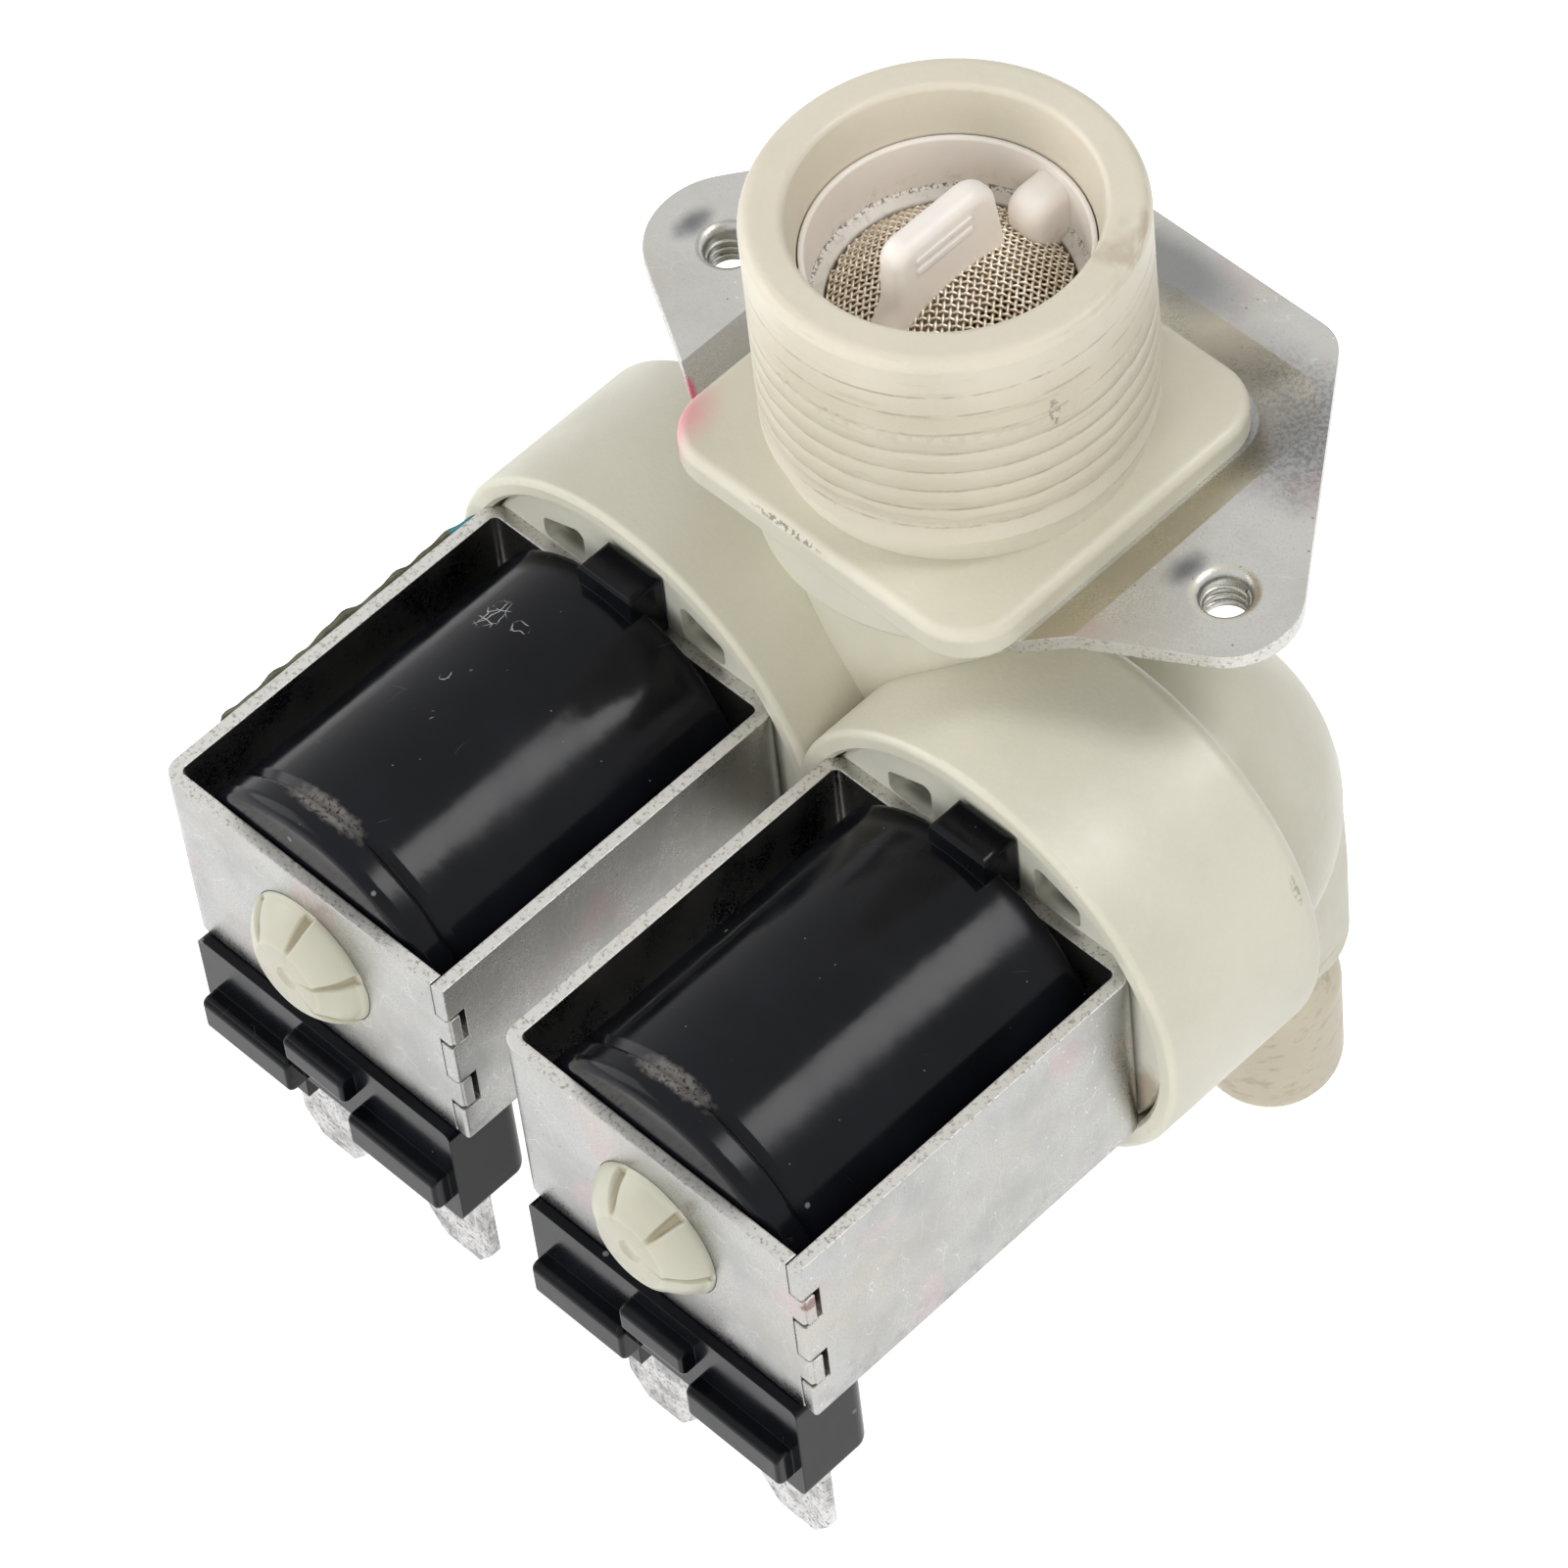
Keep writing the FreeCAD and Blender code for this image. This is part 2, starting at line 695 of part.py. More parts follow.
def yoke():
    """Strip of plated steel folded round the coil, with a finger joint at its front right corner."""
    half_x = yoke_inside_width / 2
    outer_bend = yoke_bend_radius + yoke_sheet
    low = Vector(0, 0, -half_yoke)
    rise = Vector(0, 0, yoke_height)
    outer = prism([
        (-half_x - yoke_sheet, plate_face_y, outer_bend),
        (half_x + yoke_sheet, plate_face_y, yoke_sheet / 4),
        (half_x + yoke_sheet, coil_seat_y, outer_bend),
        (-half_x - yoke_sheet, coil_seat_y, outer_bend),
    ], flat, low, rise)
    inner = prism([
        (-half_x, yoke_front_y, yoke_bend_radius),
        (half_x, yoke_front_y, 0),
        (half_x, yoke_back_y, yoke_bend_radius),
        (-half_x, yoke_back_y, yoke_bend_radius),
    ], flat, low, rise)
    strip = outer.cut(inner).cut(rod_y(tip_hole_radius, plate_face_y, yoke_front_y))
    strip = strip.cut(rod_y(yoke_hole_radius, yoke_back_y, coil_seat_y))
    for seam in corner_seam():
        strip = strip.cut(seam)
    for top in finger_tops:
        high = half_yoke + top
        end = box((half_x + yoke_sheet / 2, plate_face_y + yoke_sheet / 4, high - finger_height),
                  (half_x + yoke_sheet + finger_proud, yoke_front_y, high))
        strip = strip.fuse(end)
    return strip.removeSplitter()


def cover_tube(side):
    """Cover of the control chamber, in one moulding with the guide tube and its snap tip."""
    plate_radius = recess_radius - cover_clearance
    shell = lathe_y([
        (0, tube_end_y, 0),
        (0, plate_face_y, 0),
        (tube_radius, plate_face_y, 0),
        (tube_radius, coil_seat_y, 0),
        (plate_radius, coil_seat_y, 0.4),
        (plate_radius, bead_front_y, 0),
        (control_radius, bead_front_y, 0),
        (control_radius, control_top_y, 0),
        (tube_bore_radius, control_top_y, 0),
        (tube_bore_radius, stop_y, 0),
        (stop_bore_radius, stop_y, 0),
        (stop_bore_radius, tube_end_y, 0),
    ])
    for sign in (-1, 1):
        shell = shell.cut(window().mirror(Vector(0, 0, 0), Vector(1, 0, 0)) if sign < 0 else window())
    tip = snap_tip()
    tip.rotate(Vector(0, 0, 0), Vector(0, 1, 0), tip_turn[side])
    return shell.fuse(tip).removeSplitter()


def window():
    """Shallow window in the cover plate, beside the rear plate's upper edge."""
    return prism([
        (window_inner_x, window_low_z, window_corner),
        (window_outer_x, window_low_z, window_corner),
        (window_outer_x, window_high_z - 1.6, window_corner),
        (window_inner_x, window_high_z, window_corner),
    ], upright, Vector(0, coil_seat_y, 0), Vector(0, window_depth, 0))


def snap_tip():
    """Grooved snap cone that locks the coil on the guide tube."""
    end_y = plate_face_y - tip_length
    cone = lathe_y([
        (0, plate_face_y, 0),
        (0, end_y + tip_dimple_depth, 0),
        (tip_dimple_radius, end_y + tip_dimple_depth, 0),
        (tip_dimple_radius, end_y, 0),
        (tip_disc_radius, end_y, 0.15),
        (tip_bulge_radius, end_y + tip_bulge_height, tip_bulge_round),
        (tip_base_radius, plate_face_y - tip_shoulder, 0.2),
        (tip_base_radius, plate_face_y, 0),
    ])
    slope = math.atan2(tip_length - tip_shoulder, tip_base_radius - tip_disc_radius)
    for i in range(tip_lobes):
        groove = prism([
            (-tip_groove_foot / 2, tip_disc_radius, 0),
            (tip_groove_foot / 2, tip_disc_radius, 0),
            (tip_groove_mouth / 2, tip_base_radius + 1, 0),
            (-tip_groove_mouth / 2, tip_base_radius + 1, 0),
        ], upright, Vector(0, end_y - 1, 0), Vector(0, 1 + tip_groove_depth, 0))
        groove.rotate(Vector(0, end_y, tip_disc_radius), Vector(1, 0, 0), -math.degrees(slope))
        groove = groove.common(rod_y(tip_base_radius + 1, end_y - 1, plate_face_y - tip_shoulder / 2))
        groove.rotate(Vector(0, 0, 0), Vector(0, 1, 0), 360 * i / tip_lobes)
        cone = cone.cut(groove)
    return cone


def flux_bush(start):
    return ring_y(bush_radius, tube_radius + bush_clearance, start, start + bush_length)


def bobbin():
    """Bobbin with a flange at each end of the winding."""
    inner = bush_radius + bobbin_clearance
    tube = inner + bobbin_wall
    rim = jacket_bore_radius - winding_gap
    front = jacket_front_y + jacket_wall + winding_gap
    back = jacket_back_y - jacket_wall - winding_gap
    return lathe_y([
        (inner, jacket_front_y, 0), (tube, jacket_front_y, 0), (tube, front, 0),
        (rim, front, 0), (rim, front + bobbin_flange, 0), (tube, front + bobbin_flange, 0),
        (tube, back - bobbin_flange, 0), (rim, back - bobbin_flange, 0), (rim, back, 0),
        (tube, back, 0), (tube, yoke_back_y - bobbin_end_gap, 0), (inner, yoke_back_y - bobbin_end_gap, 0),
    ])


def winding():
    inner = bush_radius + bobbin_clearance + bobbin_wall + winding_gap
    start = jacket_front_y + jacket_wall + bobbin_flange + 2 * winding_gap
    end = jacket_back_y - jacket_wall - bobbin_flange - 2 * winding_gap
    return ring_y(inner + winding_depth, inner, start, end)


def jacket_drum():
    """Turned part of the jacket: front ring, shallow groove and plain drum, hollow for the bobbin."""
    ring = jacket_radius + jacket_ring_proud
    ring_end = jacket_front_y + jacket_ring_length
    groove_end = ring_end + jacket_groove * 2
    shell = lathe_y([
        (0, jacket_front_y, 0),
        (ring, jacket_front_y, jacket_ring_edge),
        (ring, ring_end, jacket_groove),
        (jacket_radius - jacket_groove, ring_end + jacket_groove, 0),
        (jacket_radius, groove_end + jacket_groove, 0),
        (jacket_radius, jacket_back_y, jacket_groove),
        (0, jacket_back_y, 0),
    ])
    hollow = rod_y(jacket_bore_radius, jacket_front_y + jacket_wall, jacket_back_y - jacket_wall)
    bore = rod_y(bush_radius + bobbin_clearance + bobbin_wall + winding_gap, jacket_front_y, jacket_back_y)
    return shell, hollow.fuse(bore)


def connector_block():
    """Connector below the yoke: block, two outer rails and the key between them."""
    top_z = -half_yoke - block_gap
    low_z = top_z - block_drop
    front_y = plate_face_y - block_proud
    back_y = front_y + block_depth
    half = block_half_width
    block = prism([
        (-half, low_z, block_edge), (-rail_inner_half, low_z, 0),
        (-rail_inner_half, low_z + block_notch_height, 0), (rail_inner_half, low_z + block_notch_height, 0),
        (rail_inner_half, low_z, 0), (half, low_z, block_edge),
        (half, top_z, block_edge), (-half, top_z, block_edge),
    ], upright, Vector(0, front_y, 0), Vector(0, block_depth, 0))
    low_back = [e for e in block.Edges if e.BoundBox.ZMax < low_z + 1e-3 and e.BoundBox.YMin > back_y - 1e-3]
    block = block.makeFillet(block_back_edge, low_back)
    riser_half = half - block_edge
    riser = box((-riser_half, jacket_front_y, top_z - block_edge), (riser_half, back_y, 0))
    pieces = [riser]
    rail_top_z = -half_yoke - rail_below_yoke
    for sign in (-1, 1):
        near = sign * rail_inner_half
        far = sign * (half - rail_end_inset)
        pieces.append(rail(min(near, far), max(near, far), rail_top_z, rail_height, rail_proud, front_y))
    key_top_z = -half_yoke - key_below_yoke
    pieces.append(rail(-key_half_width, key_half_width, key_top_z, key_height, key_proud, front_y))
    return block.fuse(pieces)


def rail(low_x, high_x, top_z, height, proud, face_y):
    """Bar with rounded front edges that stands proud of the connector's face."""
    bar = prism([
        (face_y + rail_edge, top_z - height, 0),
        (face_y - proud, top_z - height, rail_edge),
        (face_y - proud, top_z, rail_edge),
        (face_y + rail_edge, top_z, 0),
    ], sideways, Vector(low_x, 0, 0), Vector(high_x - low_x, 0, 0))
    ends = [e for e in bar.Edges if e.BoundBox.XLength < 1e-4 and e.BoundBox.YMax < face_y - proud + 1e-3]
    return bar.makeFillet(rail_edge / 2, ends)


def locating_lug():
    """Lug on the drum's rear end that reaches over the rear plate to the cover."""
    low = (lug_x - lug_width / 2, jacket_back_y - 2 * jacket_wall, jacket_radius - 2 * jacket_wall)
    high = (lug_x + lug_width / 2, jacket_back_y, lug_top)
    block = box(low, high)
    over = box((low[0], jacket_back_y - lug_edge, half_yoke + block_gap),
               (high[0], coil_seat_y - block_gap, lug_top))
    lug = block.common(box((low[0], jacket_back_y - jacket_wall, 0), high)).fuse(over).removeSplitter()
    top_edges = [e for e in lug.Edges if e.BoundBox.ZMin > lug_top - 1e-3]
    return lug.makeFillet(lug_edge, top_edges)


def coil_jacket():
    """Black moulding round the winding, with its lug and connector block."""
    shell, hollow = jacket_drum()
    solid = shell.fuse([connector_block(), locating_lug()]).cut(hollow)
    for sign in (-1, 1):
        solid = solid.cut(spade(sign))
    return solid.removeSplitter()


def spade(sign):
    """Flat terminal with a cut tip, rooted in the connector block."""
    centre_x = spade_centre_x + sign * spade_pitch / 2
    low_z = -half_yoke - block_gap - block_drop - spade_reach
    top_z = -half_yoke - block_gap - block_drop + spade_root
    half = spade_width / 2
    back_y = plate_face_y - block_proud + spade_back
    return prism([
        (centre_x - half, top_z, 0),
        (centre_x - half, low_z + spade_tip_drop, spade_corner),
        (centre_x - half + spade_tip_inset, low_z, spade_corner),
        (centre_x + half - spade_tip_inset, low_z, spade_corner),
        (centre_x + half, low_z + spade_tip_drop, spade_corner),
        (centre_x + half, top_z, 0),
    ], upright, Vector(0, back_y, 0), Vector(0, spade_sheet, 0))


def diaphragm():
    """Moulded rubber diaphragm: clamped bead, thin web and the hole for its insert."""
    edge = recess_radius - diaphragm_edge_clearance
    hole = insert_stem_radius + insert_hole_clearance
    rubber = lathe_y([
        (hole, web_front_y, 0), (edge - bead_width, web_front_y, 0), (edge - bead_width, bead_front_y, 0),
        (edge, bead_front_y, 0.3), (edge, ledge_y, 0.3), (edge - bead_width, ledge_y, 0),
        (edge - bead_width, web_back_y, 0), (hole, web_back_y, 0),
    ])
    bleed = rod_y(bleed_radius, web_front_y - 1, web_back_y + 1)
    return rubber.cut(bleed.translated(Vector(0, 0, -bleed_at)))


def diaphragm_insert():
    """Stiff centre of the diaphragm, with the pilot nozzle and the bleed hole."""
    insert = lathe_y([
        (pilot_radius, nozzle_y, 0), (nozzle_radius, nozzle_y, 0), (nozzle_radius, insert_front_y, 0),
        (insert_flange_radius, insert_front_y, 0), (insert_flange_radius, web_front_y, 0),
        (insert_stem_radius, web_front_y, 0), (insert_stem_radius, web_back_y + insert_foot, 0.4),
        (pilot_radius, web_back_y + insert_foot, 0),
    ])
    bleed = rod_y(bleed_radius, insert_front_y - 1, web_front_y + 1)
    return insert.cut(bleed.translated(Vector(0, 0, -bleed_at)))


def plunger():
    """Steel plunger, grooved along its length, with pockets for its seal and its spring."""
    body = lathe_y([
        (0, plunger_front_y + spring_pocket_depth, 0),
        (spring_pocket_radius, plunger_front_y + spring_pocket_depth, 0),
        (spring_pocket_radius, plunger_front_y, 0),
        (plunger_radius, plunger_front_y, plunger_edge),
        (plunger_radius, plunger_back_y, plunger_edge),
        (seal_radius, plunger_back_y, 0),
        (seal_radius, plunger_back_y - seal_length + seal_proud, 0),
        (0, plunger_back_y - seal_length + seal_proud, 0),
    ])
    half = plunger_groove_width / 2
    for sign in (-1, 1):
        middle = sign * (plunger_radius - plunger_groove_depth + 1)
        body = body.cut(box((middle - 1, plunger_front_y, -half), (middle + 1, plunger_back_y, half)))
    return body


def plunger_seal():
    return rod_y(seal_radius, seal_face_y - seal_length, seal_face_y)


def plunger_spring():
    """Closing spring between the guide tube's end and the plunger's pocket."""
    start = tube_end_y + spring_wire_radius + spring_end_gap
    end = plunger_front_y + spring_pocket_depth - spring_wire_radius - spring_end_gap
    height = end - start
    helix = Part.makeHelix(height / spring_turns, height, spring_radius)
    section = Part.Wire(Part.makeCircle(spring_wire_radius, Vector(spring_radius, 0, 0), Vector(0, 1, 0)))
    coil = Part.Wire(helix).makePipeShell([section], True, True)
    coil.rotate(Vector(0, 0, 0), Vector(1, 0, 0), -90)
    return coil.translated(Vector(0, start, 0))


def coil_unit(side):
    """Solids of one coil and its diaphragm, about that coil's own axis."""
    return {
        "cover_tube": cover_tube(side),
        "yoke": yoke(),
        "coil_jacket": coil_jacket(),
        "bobbin": bobbin(),
        "winding": winding(),
        "front_flux_bush": flux_bush(yoke_front_y),
        "rear_flux_bush": flux_bush(coil_seat_y - bush_length),
        "outer_terminal": spade(1 if side == "right" else -1),
        "inner_terminal": spade(-1 if side == "right" else 1),
        "plunger": plunger(),
        "plunger_seal": plunger_seal(),
        "plunger_spring": plunger_spring(),
        "diaphragm": diaphragm(),
        "diaphragm_insert": diaphragm_insert(),
    }


def all_nodes():
    """Every node of the valve, by name, in its place."""
    nodes = {
        "valve_body": valve_body(),
        "mounting_bracket": mounting_bracket(),
        "inlet_filter": inlet_filter(),
        "filter_mesh": filter_mesh(),
    }
    for side, sign in (("left", -1), ("right", 1)):
        place = Vector(sign * coil_pitch / 2, 0, coil_axis_z)
        for name, shape in coil_unit(side).items():
            nodes[side + "_" + name] = shape.translated(place)
    return {name: shape.translated(Vector(0, inlet_y, screw_mouth)) for name, shape in nodes.items()}


os.makedirs("parts", exist_ok=True)
for name, shape in all_nodes().items():
    shape.exportStep("parts/" + name + ".step")
    print(name, len(shape.Solids), round(shape.Volume, 1), shape.isValid())
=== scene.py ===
import functools
import json
import math

import bmesh
import bpy
from mathutils import Matrix, Vector


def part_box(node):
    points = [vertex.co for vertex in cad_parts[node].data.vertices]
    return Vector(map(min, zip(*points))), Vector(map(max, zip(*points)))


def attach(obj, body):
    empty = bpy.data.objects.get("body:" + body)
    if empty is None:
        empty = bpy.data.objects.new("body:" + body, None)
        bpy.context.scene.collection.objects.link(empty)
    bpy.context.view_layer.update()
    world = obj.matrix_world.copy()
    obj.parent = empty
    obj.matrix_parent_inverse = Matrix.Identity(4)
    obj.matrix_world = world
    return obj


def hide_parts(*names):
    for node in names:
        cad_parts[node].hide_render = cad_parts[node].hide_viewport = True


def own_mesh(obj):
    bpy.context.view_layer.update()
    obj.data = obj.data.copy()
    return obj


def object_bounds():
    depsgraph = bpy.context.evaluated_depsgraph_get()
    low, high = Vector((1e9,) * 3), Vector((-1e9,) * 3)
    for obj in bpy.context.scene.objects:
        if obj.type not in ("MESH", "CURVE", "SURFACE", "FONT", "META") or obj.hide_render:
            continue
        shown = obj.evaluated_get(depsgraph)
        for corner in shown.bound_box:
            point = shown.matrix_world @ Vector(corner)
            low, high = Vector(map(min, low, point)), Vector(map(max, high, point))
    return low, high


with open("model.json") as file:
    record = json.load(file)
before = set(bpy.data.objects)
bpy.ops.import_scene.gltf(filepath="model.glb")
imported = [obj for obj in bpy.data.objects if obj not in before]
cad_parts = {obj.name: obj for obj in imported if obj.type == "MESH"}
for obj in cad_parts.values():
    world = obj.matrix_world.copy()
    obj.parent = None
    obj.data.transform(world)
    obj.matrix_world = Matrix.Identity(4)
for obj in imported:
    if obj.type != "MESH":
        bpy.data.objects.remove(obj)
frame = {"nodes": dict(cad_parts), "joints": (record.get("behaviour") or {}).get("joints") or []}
cad_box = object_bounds()
nodes = frame["nodes"]

bl_info = {
    "name": "Washing Machine Inlet Valve",
    "version": (1, 0, 0),
    "blender": (4, 5, 0),
    "location": "View3D > Sidebar > Inlet Valve",
    "description": "Dresses the two-coil water inlet valve with its thread, gauze and worn finishes",
    "category": "Object",
}

# Lengths and places are in millimetres in the part's own frame, and colours in steps of 255.
MM = 0.001
SIDES = ("left", "right")
COIL_X = {"left": -16.2, "right": 16.2}
COIL_Z = -24.3
TIP_TURN = {"left": 8.0, "right": 34.0}
THREAD_PITCH = 1.814
THREAD_FOOT = 5.3
THREAD_TOP = 19.4
SPIGOT_RADIUS = 13.1
INLET_Y = -0.8
HOLE_X = (-22.4, 22.4)
HOLE_RADIUS = 1.68
SAME_POINT = 0.001
SOFT_ANGLE = math.radians(32)
LAMP_DISTANCE = 900.0
FLOOR_GLOW = 0.58
ROOM_LIGHT = 0.4
CAMERA_AIM = (57.328, -66.743, 76.847)

# Stains on the plated sheet: centre, half widths and colour.
PLATE_SPOTS = (
    ((29.9, -47.4, -20.0), (0.7, 0.8, 0.6), (104, 44, 28)),
    ((14.4, 12.6, 0.9), (1.5, 3.0, 0.5), (132, 112, 82)))

# Scribbles on the left coil, and rubs on both front rings: centre and half widths.
SCRIBBLES = (
    ((-20.5, -25.5, -13.2), (1.2, 1.5, 1.4)), ((-18.0, -25.5, -12.3), (0.8, 0.6, 0.8)),
    ((-18.9, -31.5, -12.5), (0.4, 0.5, 0.6)), ((-17.1, -34.5, -12.2), (0.3, 0.4, 0.5)))
RING_RUBS = (((-16.7, -44.4, -12.4), (3.9, 1.0, 1.5)), ((15.4, -44.4, -12.4), (3.7, 1.0, 1.5)))

# Inner parts: finish, light and dark colour, roughness, metal, size of the clouds and depth of the relief.
INNER_FINISHES = {
    "bobbin": ("bobbin_nylon", (214, 208, 186), (198, 190, 166), 0.5, 0.0, 3.0),
    "winding": ("enamelled_copper", (190, 96, 52), (150, 70, 36), 0.3, 1.0, 1.2),
    "front_flux_bush": ("turned_steel", (180, 180, 178), (150, 150, 148), 0.35, 1.0, 2.0),
    "plunger_spring": ("spring_wire", (200, 200, 198), (170, 170, 168), 0.22, 1.0, 1.0),
    "diaphragm": ("nitrile_rubber", (34, 34, 35), (24, 24, 25), 0.65, 0.0, 2.5, 0.04),
    "diaphragm_insert": ("insert_acetal", (226, 225, 220), (212, 210, 202), 0.4, 0.0, 3.0)}
SAME_FINISH = {
    "rear_flux_bush": "front_flux_bush", "plunger": "front_flux_bush", "plunger_seal": "diaphragm"}


def tint(*steps):
    """Linear colour for a display colour given in steps of 255."""
    return tuple(((c / 255 + 0.055) / 1.055) ** 2.4 if c > 10 else c / 255 / 12.92 for c in steps)


class ThreadSettings(bpy.types.PropertyGroup):
    pitch: bpy.props.FloatProperty(
        name="Pitch", description="Rise of the inlet thread in one turn",
        default=THREAD_PITCH * MM, precision=5, unit="LENGTH")
    crest: bpy.props.FloatProperty(
        name="Crest", description="Width of the worn flat crest",
        default=1.62 * MM, precision=5, unit="LENGTH")
    proud: bpy.props.FloatProperty(
        name="Height", description="How far the crest stands out of the spigot",
        default=0.03 * MM, precision=5, unit="LENGTH")
    tapped_pitch: bpy.props.FloatProperty(
        name="Tapped pitch", description="Rise of the bracket's tapped thread in one turn",
        default=0.7 * MM, precision=5, unit="LENGTH")
    tapped_height: bpy.props.FloatProperty(
        name="Tapped height", description="How far a tapped turn stands into its hole",
        default=0.24 * MM, precision=5, unit="LENGTH")


class GauzeSettings(bpy.types.PropertyGroup):
    pitch: bpy.props.FloatProperty(
        name="Wire pitch", description="Distance between neighbouring wires of the gauze",
        default=0.44 * MM, precision=5, unit="LENGTH")
    wire: bpy.props.FloatProperty(
        name="Wire radius", description="Radius of one wire",
        default=0.128 * MM, precision=6, unit="LENGTH")
    turn: bpy.props.FloatProperty(
        name="Turn", description="Turn of the weave about the inlet's axis",
        default=math.radians(38), unit="ROTATION")


class SnapTipSettings(bpy.types.PropertyGroup):
    lobes: bpy.props.IntProperty(
        name="Lobes", description="Number of lobes round a snap tip", default=6, min=3)
    length: bpy.props.FloatProperty(
        name="Length", description="How far a snap tip stands out of the yoke's front plate",
        default=2.5 * MM, precision=5, unit="LENGTH")
    base: bpy.props.FloatProperty(
        name="Base radius", description="Radius of the lobes where they catch the front plate",
        default=5.35 * MM, precision=5, unit="LENGTH")
    disc: bpy.props.FloatProperty(
        name="Disc radius", description="Radius of the flat disc on the tip's end",
        default=2.95 * MM, precision=5, unit="LENGTH")
    groove: bpy.props.FloatProperty(
        name="Groove depth", description="Depth of the grooves between the lobes",
        default=0.75 * MM, precision=5, unit="LENGTH")
    step: bpy.props.FloatProperty(
        name="Step", description="How much lower every other lobe lies",
        default=0.22 * MM, precision=5, unit="LENGTH")


class FinishSettings(bpy.types.PropertyGroup):
    ivory: bpy.props.FloatVectorProperty(
        name="Nylon", description="Colour of the ivory nylon moulding",
        default=tint(215, 212, 195), subtype="COLOR", size=3, min=0, max=1)
    cream: bpy.props.FloatVectorProperty(
        name="Inlet nylon", description="Warmer colour of the threaded inlet",
        default=tint(222, 214, 196), subtype="COLOR", size=3, min=0, max=1)
    zinc: bpy.props.FloatVectorProperty(
        name="Zinc", description="Colour of the zinc plated sheet",
        default=tint(196, 195, 190), subtype="COLOR", size=3, min=0, max=1)
    yoke_zinc: bpy.props.FloatVectorProperty(
        name="Yoke zinc", description="Duller colour of the plated yokes",
        default=tint(176, 176, 174), subtype="COLOR", size=3, min=0, max=1)
    black: bpy.props.FloatVectorProperty(
        name="Coil black", description="Colour of the moulded coils",
        default=tint(12, 13, 17), subtype="COLOR", size=3, min=0, max=1)
    filter_white: bpy.props.FloatVectorProperty(
        name="Filter white", description="Colour of the moulded filter",
        default=tint(246, 238, 229), subtype="COLOR", size=3, min=0, max=1)


class StageSettings(bpy.types.PropertyGroup):
    azimuth: bpy.props.FloatProperty(
        name="Azimuth", description="Side from which the camera looks",
        default=math.radians(50.551), unit="ROTATION")
    elevation: bpy.props.FloatProperty(
        name="Elevation", description="Height of the camera above the horizon",
        default=math.radians(52.387), unit="ROTATION")
    roll: bpy.props.FloatProperty(
        name="Roll", description="Turn of the picture about the line of sight",
        default=math.radians(-7.247), unit="ROTATION")
    distance: bpy.props.FloatProperty(
        name="Distance", description="Way from the aim point to the camera",
        default=0.38019, precision=4, unit="LENGTH")
    lens: bpy.props.FloatProperty(
        name="Lens", description="Focal length in millimetres", default=174.5)


